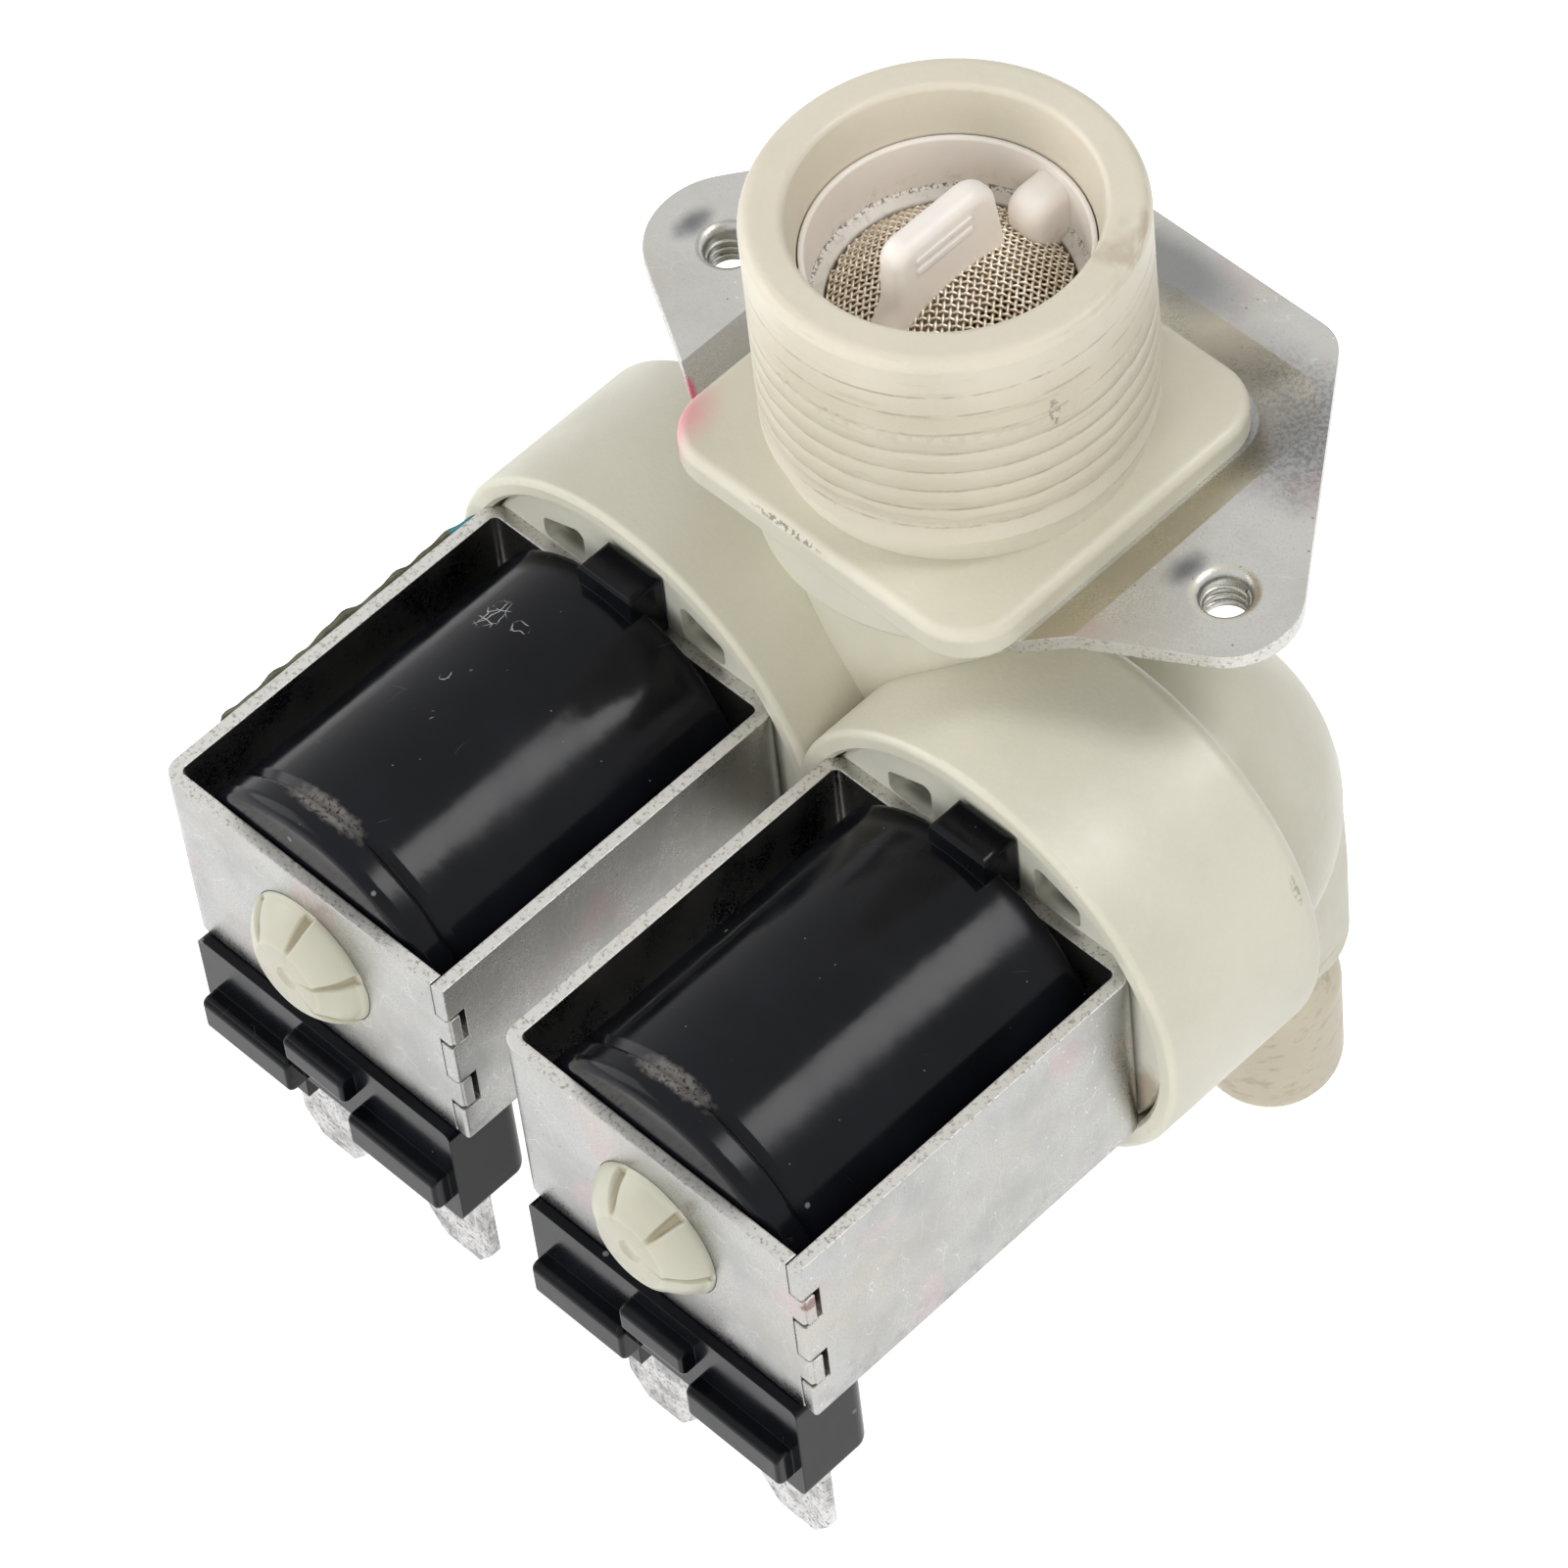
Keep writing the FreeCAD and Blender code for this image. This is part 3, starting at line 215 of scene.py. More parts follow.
class Finish:
    """A node material, its base colour so far, and short calls for the nodes that it is made of."""

    def __init__(self, name, roughness=0.5, metallic=0.0):
        self.material = bpy.data.materials.new(name)
        self.material.use_nodes = True
        self.tree = self.material.node_tree
        self.shader = self.tree.nodes["Principled BSDF"]
        self.place = self.add("ShaderNodeTexCoord").outputs["Object"]
        self.base = None
        self.shader.inputs["Roughness"].default_value = roughness
        self.shader.inputs["Metallic"].default_value = metallic

    def add(self, kind, **settings):
        """New node of a kind, with its settings."""
        node = self.tree.nodes.new(kind)
        for name, value in settings.items():
            setattr(node, name, value)
        return node

    def feed(self, socket, value):
        """Links an output to a socket, or sets a plain value on it."""
        if isinstance(value, bpy.types.NodeSocket):
            self.tree.links.new(value, socket)
        elif isinstance(value, tuple) and len(value) == 3 and socket.type == "RGBA":
            socket.default_value = (*value, 1.0)
        else:
            socket.default_value = value

    def set(self, **values):
        """Feeds the shader's own sockets; an underscore stands for a space in a socket's name."""
        for name, value in values.items():
            self.feed(self.shader.inputs[name.replace("_", " ")], value)

    def moved(self, centre=(0, 0, 0), turn=(0, 0, 0), scale=(1, 1, 1)):
        """Object coordinates about a centre in millimetres, turned and stretched."""
        shift = self.add("ShaderNodeVectorMath", operation="SUBTRACT")
        self.feed(shift.inputs[0], self.place)
        shift.inputs[1].default_value = [c * MM for c in centre]
        mapping = self.add("ShaderNodeMapping", vector_type="TEXTURE")
        self.feed(mapping.inputs["Vector"], shift.outputs[0])
        mapping.inputs["Rotation"].default_value = [math.radians(a) for a in turn]
        mapping.inputs["Scale"].default_value = [1 / s for s in scale]
        return mapping.outputs[0]

    def noise(self, size, detail=3.0, rough=0.5, warp=0.0, where=None):
        """Cloudy values with features of a size in millimetres."""
        node = self.add("ShaderNodeTexNoise")
        self.feed(node.inputs["Vector"], where or self.place)
        node.inputs["Scale"].default_value = 1.0 / (size * MM)
        node.inputs["Detail"].default_value = detail
        node.inputs["Roughness"].default_value = rough
        node.inputs["Distortion"].default_value = warp
        return node.outputs[0]

    def cells(self, size, feature="F1", output="Distance", where=None):
        """Distance or random colour of scattered cells of a size in millimetres."""
        node = self.add("ShaderNodeTexVoronoi", feature=feature)
        self.feed(node.inputs["Vector"], where or self.place)
        node.inputs["Scale"].default_value = 1.0 / (size * MM)
        return node.outputs[output]

    def calc(self, operation, first, second=0.0, third=0.0):
        """Result of a calculation with up to three values."""
        node = self.add("ShaderNodeMath", operation=operation)
        for socket, value in zip(node.inputs, (first, second, third)):
            self.feed(socket, value)
        return node.outputs[0]

    def span(self, value, low, high, start=0.0, end=1.0):
        """Eases a value from start to end as it goes from low to high."""
        node = self.add("ShaderNodeMapRange", interpolation_type="SMOOTHSTEP")
        numbers = {"Value": value, "From Min": low, "From Max": high, "To Min": start, "To Max": end}
        for name, number in numbers.items():
            self.feed(node.inputs[name], number)
        return node.outputs[0]

    def part(self, axis):
        """One coordinate, in millimetres."""
        split = self.add("ShaderNodeSeparateXYZ")
        self.feed(split.inputs[0], self.place)
        return self.calc("MULTIPLY", split.outputs[axis], 1 / MM)

    def off_axis(self, first, second, axes=(0, 1)):
        """Distance in millimetres from a line that is square to two axes."""
        offsets = [self.calc("SUBTRACT", self.part(a), line) for a, line in zip(axes, (first, second))]
        squares = [self.calc("POWER", offset, 2.0) for offset in offsets]
        return self.calc("SQRT", self.calc("ADD", *squares))

    def facing(self, axis):
        """How squarely the surface faces along an axis, either way: 0 to 1."""
        split = self.add("ShaderNodeSeparateXYZ")
        self.feed(split.inputs[0], self.add("ShaderNodeNewGeometry").outputs["Normal"])
        return self.calc("ABSOLUTE", split.outputs[axis])

    def band(self, value, low, high, soft):
        """Mask that is 1 between two values and fades out over a soft margin."""
        rise = self.span(value, low - soft, low)
        return self.calc("MULTIPLY", rise, self.span(value, high, high + soft, 1.0, 0.0))

    def both(self, *masks):
        """Product of masks."""
        return functools.reduce(functools.partial(self.calc, "MULTIPLY"), masks)

    def either(self, *masks):
        """Largest of masks."""
        return functools.reduce(functools.partial(self.calc, "MAXIMUM"), masks)

    def lay(self, mask, share, colour):
        """Lays a colour over the base where a mask says so; a plain one is given in steps of 255."""
        colour = tint(*colour) if isinstance(colour, tuple) else colour
        self.base = self.mix(self.calc("MULTIPLY", mask, share), self.base, colour)

    def mix(self, share, first, second):
        """Blend of two colours."""
        node = self.add("ShaderNodeMix", data_type="RGBA")
        self.feed(node.inputs["Factor"], share)
        self.feed(node.inputs[6], first)
        self.feed(node.inputs[7], second)
        return node.outputs[2]

    def patch(self, centre, size, ragged=0.5, grain=1.0, turn=(0, 0, 0), core=0.6):
        """Mask that fades from 1 in a spot's core to 0 at its ragged edge; sizes are half widths."""
        where = self.moved(centre, turn, tuple(1 / (s * MM) for s in size))
        reach = self.add("ShaderNodeVectorMath", operation="LENGTH")
        self.feed(reach.inputs[0], where)
        rag = self.calc("MULTIPLY", self.calc("SUBTRACT", self.noise(grain, 4.0, 0.6), 0.5), 2 * ragged)
        return self.span(self.calc("ADD", reach.outputs["Value"], rag), core, 1.1, 1.0, 0.0)

    def flecks(self, size, share, reach=0.25):
        """Mask of small scattered flecks: size of a cell, and the share of cells that has one."""
        near = self.span(self.cells(size), reach * 0.6, reach, 1.0, 0.0)
        split = self.add("ShaderNodeSeparateColor")
        self.feed(split.inputs[0], self.cells(size, output="Color"))
        chosen = self.calc("LESS_THAN", split.outputs[0], share)
        return self.calc("MULTIPLY", near, chosen)

    def scratches(self, size, width, share, turn=(0, 0, 0), stretch=(1, 1, 1)):
        """Mask of thin broken lines: the edges of large warped cells, kept where a cloud is high."""
        where = self.moved((3, 5, 7), turn, stretch)
        warp = self.add("ShaderNodeTexNoise")
        self.feed(warp.inputs["Vector"], where)
        warp.inputs["Scale"].default_value = 0.6 / (size * MM)
        bent = self.add("ShaderNodeVectorMath", operation="MULTIPLY_ADD")
        self.feed(bent.inputs[0], warp.outputs["Color"])
        bent.inputs[1].default_value = (size * MM,) * 3
        self.feed(bent.inputs[2], where)
        edge = self.cells(size, "DISTANCE_TO_EDGE", where=bent.outputs[0])
        line = self.span(edge, width * 0.3, width, 1.0, 0.0)
        kept = self.span(self.noise(size * 0.9, 2.0), 1 - share, 1.08 - share)
        return self.calc("MULTIPLY", line, kept)

    def relief(self, height, depth, soften=0.0):
        """Raises the surface by a height map whose full range is a depth in millimetres."""
        bump = self.add("ShaderNodeBump")
        bump.inputs["Distance"].default_value = depth * MM
        self.feed(bump.inputs["Height"], height)
        if soften:
            edge = self.add("ShaderNodeBevel", samples=4)
            edge.inputs["Radius"].default_value = soften * MM
            self.feed(bump.inputs["Normal"], edge.outputs[0])
        self.feed(self.shader.inputs["Normal"], bump.outputs[0])


def paint(finish, *names):
    """Gives a finish to CAD nodes."""
    for name in names:
        nodes[name].data.materials.clear()
        nodes[name].data.materials.append(finish.material)


def merged_copy(node):
    """Bmesh of a CAD node, whose faces share their corners."""
    bm = bmesh.new()
    bm.from_mesh(nodes[node].data)
    bmesh.ops.remove_doubles(bm, verts=bm.verts, dist=SAME_POINT * MM)
    return bm


def crease(bm):
    """Marks the edges between faces that meet at a clear angle as sharp."""
    for edge in bm.edges:
        edge.smooth = edge.calc_face_angle(0.0) < SOFT_ANGLE


def keep_piece(bm, name, material, replaces=()):
    """Turns a bmesh into a piece that rides on the valve."""
    bmesh.ops.recalc_face_normals(bm, faces=bm.faces)
    mesh = bpy.data.meshes.new(name)
    bm.to_mesh(mesh)
    bm.free()
    for face in mesh.polygons:
        face.use_smooth = True
    mesh.materials.append(material)
    piece = bpy.data.objects.new(name, mesh)
    bpy.context.scene.collection.objects.link(piece)
    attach(piece, "valve")
    if replaces:
        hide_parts(*replaces)
    return piece


def helix(profile, centre, pitch, start, turns, steps):
    """Band of a thread: a profile of (radius, height) points, swept up about an upright axis."""
    bm = bmesh.new()
    loop = [bm.verts.new((radius, 0.0, start + height)) for radius, height in profile]
    face = bm.faces.new(loop)
    total = round(turns * steps)
    bmesh.ops.spin(
        bm, geom=[face, *face.edges, *face.verts], cent=(0, 0, 0), axis=(0, 0, 1),
        dvec=(0, 0, pitch / steps), angle=math.tau * total / steps, steps=total, use_merge=False)
    bmesh.ops.remove_doubles(bm, verts=bm.verts, dist=1e-7)
    bmesh.ops.translate(bm, verts=bm.verts, vec=(centre[0], centre[1], 0))
    return bm


class Nylon(Finish):
    """Ivory nylon, cloudy and a little see-through, with grime in the thread, painted shade in the thread,
    the bore, the cover windows and the tip grooves, stains and dust.
    """

    def __init__(self, name, scene, ivory):
        super().__init__(name, 0.42)
        self.height = self.part(2)
        self.from_inlet = self.off_axis(0.0, INLET_Y)
        self.fine = self.noise(0.35, 3.0, 0.6)
        self.streak = self.noise(0.7, 3.0, 0.6, where=self.moved(scale=(0.1, 0.1, 1)))
        outside = self.span(self.from_inlet, SPIGOT_RADIUS - 0.7, SPIGOT_RADIUS - 0.3)
        self.spigot = self.both(outside, self.span(self.height, 5.0, 7.0))
        cloud = self.noise(9.0, 3.0)
        cream = tuple(scene.valve_finish.cream)
        self.base = self.mix(self.span(self.height, -0.7, THREAD_FOOT), ivory, cream)
        self.lay(self.span(cloud, 0.3, 0.75), 0.3, (186, 184, 164))
        self.lay(self.span(self.noise(2.2, 4.0, 0.6), 0.5, 0.75), 0.18, (226, 223, 208))
        self.lay(self.span(self.fine, 0.45, 0.8), 0.12, (232, 228, 212))
        self.lay(self.span(self.height, -48.0, -57.0), 0.5, (190, 174, 148))
        self.age_inlet()
        self.stain_flange()
        self.shade_windows()
        self.tone_tips(scene.valve_snap_tip)
        self.mark_drums()
        self.set(
            Base_Color=self.base, Roughness=self.span(cloud, 0.3, 0.8, 0.34, 0.5), Subsurface_Weight=0.2,
            Subsurface_Radius=(1.0, 0.85, 0.6), Subsurface_Scale=1.2 * MM, IOR=1.5)
        bumps = self.calc("ADD", self.calc("MULTIPLY", cloud, 0.8), self.calc("MULTIPLY", self.fine, 0.3))
        self.relief(self.calc("ADD", bumps, self.both(self.spigot, self.streak, 0.5)), 0.07, 0.06)

    def age_inlet(self):
        """Grime and painted shade in the thread, painted shade in the bore below the filter, a yellowed
        wall, and a scuff on the thread.
        """
        self.lay(self.thread_grime_and_shade(), 0.55, (140, 126, 102))
        self.lay(self.both(self.spigot, self.span(self.height, 20.0, 16.0)), 0.35, (190, 178, 148))
        self.lay(self.both(self.spigot, self.span(self.streak, 0.56, 0.7)), 0.3, (176, 166, 144))
        # Painted shade in the bore below the filter.
        shade_under_filter = self.both(self.span(self.from_inlet, 9.9, 9.7), self.span(self.height, 12.6, 11.9))
        self.lay(shade_under_filter, 0.6, (126, 106, 80))
        scuff = self.patch((12.6, -4.4, 15.0), (0.6, 0.45, 1.5), 0.5, 0.5)
        self.lay(self.both(scuff, self.span(self.fine, 0.5, 0.58)), 0.6, (116, 104, 88))

    def thread_grime_and_shade(self):
        """Broken thin lines of grime and painted shade in the groove of the inlet thread."""
        angle = self.calc("ARCTAN2", self.calc("SUBTRACT", self.part(1), INLET_Y), self.part(0))
        climb = self.calc("DIVIDE", self.calc("SUBTRACT", self.height, THREAD_FOOT), THREAD_PITCH)
        phase = self.calc("FRACT", self.calc("SUBTRACT", climb, self.calc("DIVIDE", angle, math.tau)))
        # Dark line along the groove: grime, and painted shade of the groove.
        line = self.span(self.calc("ABSOLUTE", self.calc("SUBTRACT", phase, 0.5)), 0.02, 0.085, 1.0, 0.0)
        broken = self.span(self.noise(2.4, 4.0, 0.65), 0.36, 0.62)
        zone = self.band(self.height, THREAD_FOOT - 0.6, THREAD_TOP - 0.6, 1.4)
        outside = self.span(self.from_inlet, SPIGOT_RADIUS - 0.4, SPIGOT_RADIUS - 0.15)
        return self.both(line, broken, zone, outside)

    def stain_flange(self):
        """Pink stain on the flange's left corner, dirt on the rim and a dark line along the front edge."""
        pink = self.patch((-14.3, -13.4, 0.9), (3.6, 4.2, 3.4), 0.15, 2.5, core=0.0)
        self.lay(pink, 0.9, (232, 124, 146))
        rim = self.patch((10.4, 4.6, 20.6), (2.2, 3.4, 2.0), 0.6, 1.5)
        self.lay(self.both(rim, self.span(self.streak, 0.5, 0.62)), 0.4, (150, 128, 96))
        edge = self.patch((-1.9, -15.15, 1.5), (3.7, 0.3, 0.32), 0.25, 0.5)
        self.lay(self.both(edge, self.span(self.fine, 0.46, 0.56)), 0.7, (96, 88, 74))

    def shade_windows(self):
        """Painted shade in the windows of the covers, above and beside the rear plates."""
        centres = [(x + offset, -15.9, -14.2) for x in COIL_X.values() for offset in (-6.6, 6.6)]
        windows = [self.patch(centre, (2.6, 0.95, 2.4), 0.05) for centre in centres]
        # The windows' dark colour is painted shade.
        self.lay(self.either(*windows), 0.85, (84, 76, 58))

    def tone_tips(self, tip):
        """Duller snap tips, with a flat disc on their ends and painted shade in the grooves between their
        lobes.
        """
        plate_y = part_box("left_yoke")[0].y / MM
        end_y = plate_y - tip.length / MM
        disc = tip.disc / MM
        self.lay(self.span(self.part(1), plate_y + 0.1, plate_y - 0.1), 0.74, (180, 178, 158))
        discs = [self.span(self.off_axis(x, COIL_Z, (0, 2)), disc, disc - 0.2) for x in COIL_X.values()]
        on_end = self.span(self.part(1), end_y + 0.3, end_y + 0.1)
        self.lay(self.both(on_end, self.either(*discs)), 0.5, (172, 168, 150))
        # Painted shade in the grooves, where the groove attribute says so.
        groove = self.add("ShaderNodeAttribute", attribute_name="groove").outputs["Fac"]
        self.lay(groove, 0.6, (138, 120, 84))

    def mark_drums(self):
        """Brown marks on the right drum and the hose spigots, and dust over all."""
        self.lay(self.patch((30.2, -16.6, -30.0), (1.8, 1.4, 4.0), 0.3, 0.8), 0.6, (150, 126, 94))
        hose_mark = self.noise(1.8, 5.0, 0.65, where=self.moved(turn=(12, 0, 0), scale=(1, 1, 2.6)))
        hose_head = self.span(self.height, -46.0, -50.0)
        self.lay(self.both(hose_head, self.span(hose_mark, 0.52, 0.66)), 0.4, (152, 130, 100))
        nicks = self.patch((32.4, -4.6, -17.5), (1.2, 0.35, 1.5), 0.4, 0.6)
        self.lay(self.both(nicks, self.span(self.fine, 0.42, 0.56)), 0.5, (120, 102, 80))
        self.lay(self.flecks(1.5, 0.05, 0.05), 0.55, (104, 94, 78))


def zinc_plate(name, colour, sheared, marks_and_light):
    """Zinc plated sheet with pits, scratches and clouds; the mask of its sheared faces and a function that
    lays its marks, with painted shade and reflections on the bracket, are given.
    """
    finish = Finish(name, 0.34, 1.0)
    cloud = finish.noise(5.0, 4.0, 0.6)
    grain = finish.noise(0.2, 4.0, 0.7)
    finish.base = finish.mix(finish.span(cloud, 0.4, 0.7, 0.0, 0.5), colour, tuple(0.8 * c for c in colour))
    tan = finish.noise(9.0, 2.0, where=finish.moved((40, 10, 25)))
    finish.lay(finish.span(tan, 0.45, 0.72), 0.25, (190, 180, 162))
    blush = finish.noise(7.0, 2.0, where=finish.moved((9, 70, 4)))
    finish.lay(finish.span(blush, 0.55, 0.72), 0.35, (196, 166, 168))
    finish.lay(finish.span(grain, 0.5, 0.8), 0.4, (126, 125, 122))
    finish.lay(finish.flecks(0.8, 0.16, 0.13), 0.6, (82, 78, 72))
    finish.lay(finish.flecks(1.1, 0.12, 0.1), 0.6, (226, 226, 226))
    finish.lay(finish.scratches(3.0, 0.014, 0.5, (0, 0, 25), (1, 3, 1)), 0.5, (214, 213, 210))
    # Lays the marks, and on the bracket painted shade and reflections.
    marks_and_light(finish)
    rough_edge = sheared(finish)
    notch = finish.span(finish.noise(0.3, 4.0, 0.7), 0.52, 0.66)
    finish.lay(rough_edge, 0.85, finish.mix(notch, tint(210, 208, 203), tint(150, 145, 138)))
    for centre, size, stain in PLATE_SPOTS:
        finish.lay(finish.patch(centre, size, 0.7, 0.5), 0.65, stain)
    pink_paint = finish.patch((-14.7, -11.2, 0.2), (2.9, 0.7, 1.4), 0.3, 1.0, (0, 0, -36))
    finish.lay(pink_paint, 0.8, (196, 62, 98))
    gloss = finish.span(finish.calc("ADD", cloud, grain), 0.7, 1.3, 0.22, 0.42)
    roughness = finish.calc("ADD", gloss, finish.calc("MULTIPLY", rough_edge, 0.12))
    finish.set(Base_Color=finish.base, Roughness=roughness)
    finish.relief(finish.calc("ADD", cloud, finish.calc("MULTIPLY", grain, 0.35)), 0.035, 0.16)
    return finish


def bracket_edges(finish):
    """Mask of the bracket's sheared edges, which stand upright; the holes' walls are left out."""
    upright = finish.span(finish.facing(2), 0.5, 0.2)
    return finish.both(upright, *(finish.span(finish.off_axis(x, 0.0), 3.0, 3.3) for x in HOLE_X))


def bracket_light_and_grit(finish):
    """Painted reflections on the slopes and dark ones in the mouths of the holes, painted shade beside and
    behind the spigot, and grit.
    """
    # Painted reflections: a light one of the nylon on the right slopes, a dark one on the left ramp.
    slope = finish.band(finish.facing(2), 0.86, 0.955, 0.03)
    left = finish.span(finish.part(0), -9.0, -13.0)
    finish.lay(finish.both(slope, finish.calc("SUBTRACT", 1.0, left)), 0.7, (196, 188, 168))
    finish.lay(finish.both(slope, left), 0.4, (118, 112, 102))
    for x in HOLE_X:
        # Painted dark reflection in the rounded mouth of the hole.
        mouth_dark_reflection = finish.patch((x - 3.2, -0.2, 0.8), (1.3, 2.2, 1.0), 0.2, 1.0, core=0.1)
        finish.lay(mouth_dark_reflection, 0.8, (92, 94, 98))
    # Painted shade beside and behind the spigot.
    beside = finish.patch((14.0, 12.5, 0.8), (12.0, 7.0, 3.0), 0.15, 4.0, core=0.15)
    behind = finish.patch((1.0, 17.6, 0.8), (8.0, 3.6, 2.0), 0.15, 4.0, core=0.3)
    finish.lay(finish.either(beside, behind), 0.7, (104, 105, 107))
    dusty = finish.patch((17.0, 13.0, 0.8), (9.0, 7.0, 2.0), 0.3, 2.0, core=0.2)
    finish.lay(finish.both(dusty, finish.span(finish.noise(0.3, 3.0, 0.7), 0.42, 0.62)), 0.6, (96, 96, 98))


def yoke_edges(finish):
    """Mask of a yoke's sheared upper and lower edges."""
    return finish.span(finish.facing(2), 0.6, 0.9)


def handle_yoke(finish):
    """Grime along the yoke's foot, next to the connector."""
    foot = finish.span(finish.part(2), -29.0, -32.6)
    finish.lay(finish.both(foot, finish.span(finish.noise(1.4, 4.0, 0.65), 0.45, 0.7)), 0.3, (92, 90, 86))


def coil_black(name, colours):
    """Glossy black moulding with dust, fine scratches and rubbed patches on the front rings."""
    finish = Finish(name, 0.16)
    cloud = finish.noise(7.0, 3.0)
    fine = finish.noise(0.3, 3.0, 0.6)
    finish.base = finish.mix(finish.span(cloud, 0.35, 0.7), tuple(colours.black), tint(18, 19, 25))
    dust = finish.either(finish.flecks(1.0, 0.14, 0.07), finish.flecks(2.6, 0.16, 0.1))
    line = finish.scratches(4.5, 0.009, 0.36, (20, 0, 60), (1, 2.2, 1))
    chalk = finish.scratches(0.9, 0.055, 0.72, (0, 20, 10))
    scribble = finish.both(finish.either(*(finish.patch(*spot, 0.4, 0.7) for spot in SCRIBBLES)), chalk)
    rubbed = finish.either(*(finish.patch(*spot, 0.5, 0.6) for spot in RING_RUBS))
    rub = finish.both(rubbed, finish.span(fine, 0.3, 0.55))
    finish.lay(dust, 0.75, (128, 128, 132))
    finish.lay(line, 0.4, (84, 84, 90))
    finish.lay(rub, 0.85, (124, 120, 116))
    finish.lay(scribble, 0.9, (184, 184, 188))
    worn = finish.calc("MULTIPLY", finish.either(dust, line, rub, scribble), 0.35)
    gloss = finish.span(cloud, 0.3, 0.75, 0.11, 0.21)
    finish.set(
        Base_Color=finish.base, Roughness=finish.calc("ADD", gloss, worn), IOR=1.5, Specular_IOR_Level=0.15)
    finish.relief(finish.calc("ADD", cloud, finish.calc("MULTIPLY", fine, 0.05)), 0.05, 0.15)
    return finish


def filter_plastic(name, colours):
    """Pinkish white moulded plastic with painted shade on the ring's lower outer part, and a dotted dark
    line where dirt has settled round the ring.
    """
    finish = Finish(name, 0.4)
    height = finish.part(2)
    from_axis = finish.off_axis(0.0, INLET_Y)
    cloud = finish.noise(4.0, 3.0)
    grit = finish.noise(0.28, 4.0, 0.7)
    finish.base = tuple(colours.filter_white)
    finish.lay(finish.span(cloud, 0.35, 0.7), 0.4, (232, 230, 228))
    # Painted shade on the ring's lower outer part.
    ring = finish.both(finish.span(height, 13.95, 13.6), finish.span(from_axis, 7.9, 8.1))
    finish.lay(ring, 0.6, (206, 203, 194))
    ring_foot = finish.both(finish.band(height, 13.66, 13.92, 0.1), finish.span(from_axis, 8.75, 8.95))
    finish.lay(finish.both(ring_foot, finish.span(grit, 0.5, 0.6)), 0.85, (70, 66, 62))
    film = finish.span(finish.noise(0.9, 4.0, 0.7), 0.5, 0.72)
    finish.lay(finish.both(film, finish.span(height, 16.0, 13.5)), 0.35, (150, 142, 132))
    finish.set(
        Base_Color=finish.base, Roughness=finish.span(cloud, 0.3, 0.8, 0.32, 0.48), Subsurface_Weight=0.15,
        Subsurface_Radius=(1.0, 0.8, 0.7), Subsurface_Scale=0.8 * MM)
    finish.relief(finish.calc("ADD", cloud, finish.calc("MULTIPLY", grit, 0.2)), 0.05, 0.15)
    return finish


def steel_wire(name):
    """Stainless wire in two tones that vary in a cloud, with brown in fine specks."""
    finish = Finish(name, 0.32, 1.0)
    fine = finish.noise(0.25, 2.0)
    finish.base = finish.mix(
        finish.span(finish.noise(2.5, 3.0), 0.35, 0.7), tint(240, 230, 214), tint(218, 204, 184))
    finish.lay(finish.span(fine, 0.5, 0.8), 0.3, (140, 122, 98))
    finish.set(Base_Color=finish.base, Roughness=finish.span(fine, 0.3, 0.7, 0.38, 0.55))
    finish.relief(fine, 0.01)
    return finish


def spade_tin(name):
    """Tinned brass, rubbed and speckled with grey."""
    finish = Finish(name, 0.38, 1.0)
    cloud = finish.noise(1.6, 4.0, 0.65)
    speck = finish.noise(0.35, 4.0, 0.75)
    streak = finish.noise(0.5, 3.0, where=finish.moved(scale=(1, 1, 0.12)))
    finish.base = finish.mix(finish.span(cloud, 0.38, 0.66), tint(206, 204, 202), tint(152, 151, 152))
    finish.lay(finish.span(speck, 0.52, 0.66), 0.8, (92, 90, 92))
    finish.lay(finish.span(streak, 0.55, 0.8), 0.5, (226, 225, 224))
    finish.set(Base_Color=finish.base, Roughness=finish.span(speck, 0.4, 0.7, 0.26, 0.6))
    finish.relief(finish.calc("ADD", cloud, speck), 0.03, 0.1)
    return finish


def strip_film(name):
    """Film whose dull olive colour is painted shadow over its own colour, with grey dust, and a scrap of
    teal at its rear end.
    """
    finish = Finish(name, 0.55)
    cloud = finish.noise(2.0, 4.0, 0.6)
    fine = finish.noise(0.3, 3.0, 0.6)
    # The film's olive tones are painted shadow.
    finish.base = finish.mix(finish.span(cloud, 0.35, 0.65), tint(96, 96, 76), tint(136, 134, 112))
    finish.lay(finish.span(fine, 0.5, 0.7), 0.35, (64, 66, 54))
    rear = finish.span(finish.part(1), -21.2, -20.6)
    top = finish.span(finish.part(2), -17.4, -16.9)
    finish.lay(finish.both(rear, top), 0.95, (92, 178, 198))
    finish.set(Base_Color=finish.base, Roughness=finish.span(fine, 0.3, 0.7, 0.4, 0.65))
    finish.relief(finish.calc("ADD", cloud, fine), 0.04)
    return finish


def plain_finish(name, light, dark, roughness, metallic, size, depth=0.02):
    """Finish of a part inside the valve: two tones in a cloud, with grain."""
    finish = Finish(name, roughness, metallic)
    cloud = finish.noise(size, 4.0, 0.6)
    grain = finish.noise(size / 9, 3.0)
    base = finish.mix(finish.span(cloud, 0.35, 0.68), tint(*light), tint(*dark))
    rough = finish.span(grain, 0.3, 0.7, roughness * 0.8, min(1.0, roughness * 1.25))
    finish.set(Base_Color=base, Roughness=rough)
    finish.relief(finish.calc("ADD", cloud, grain), depth)
    return finish


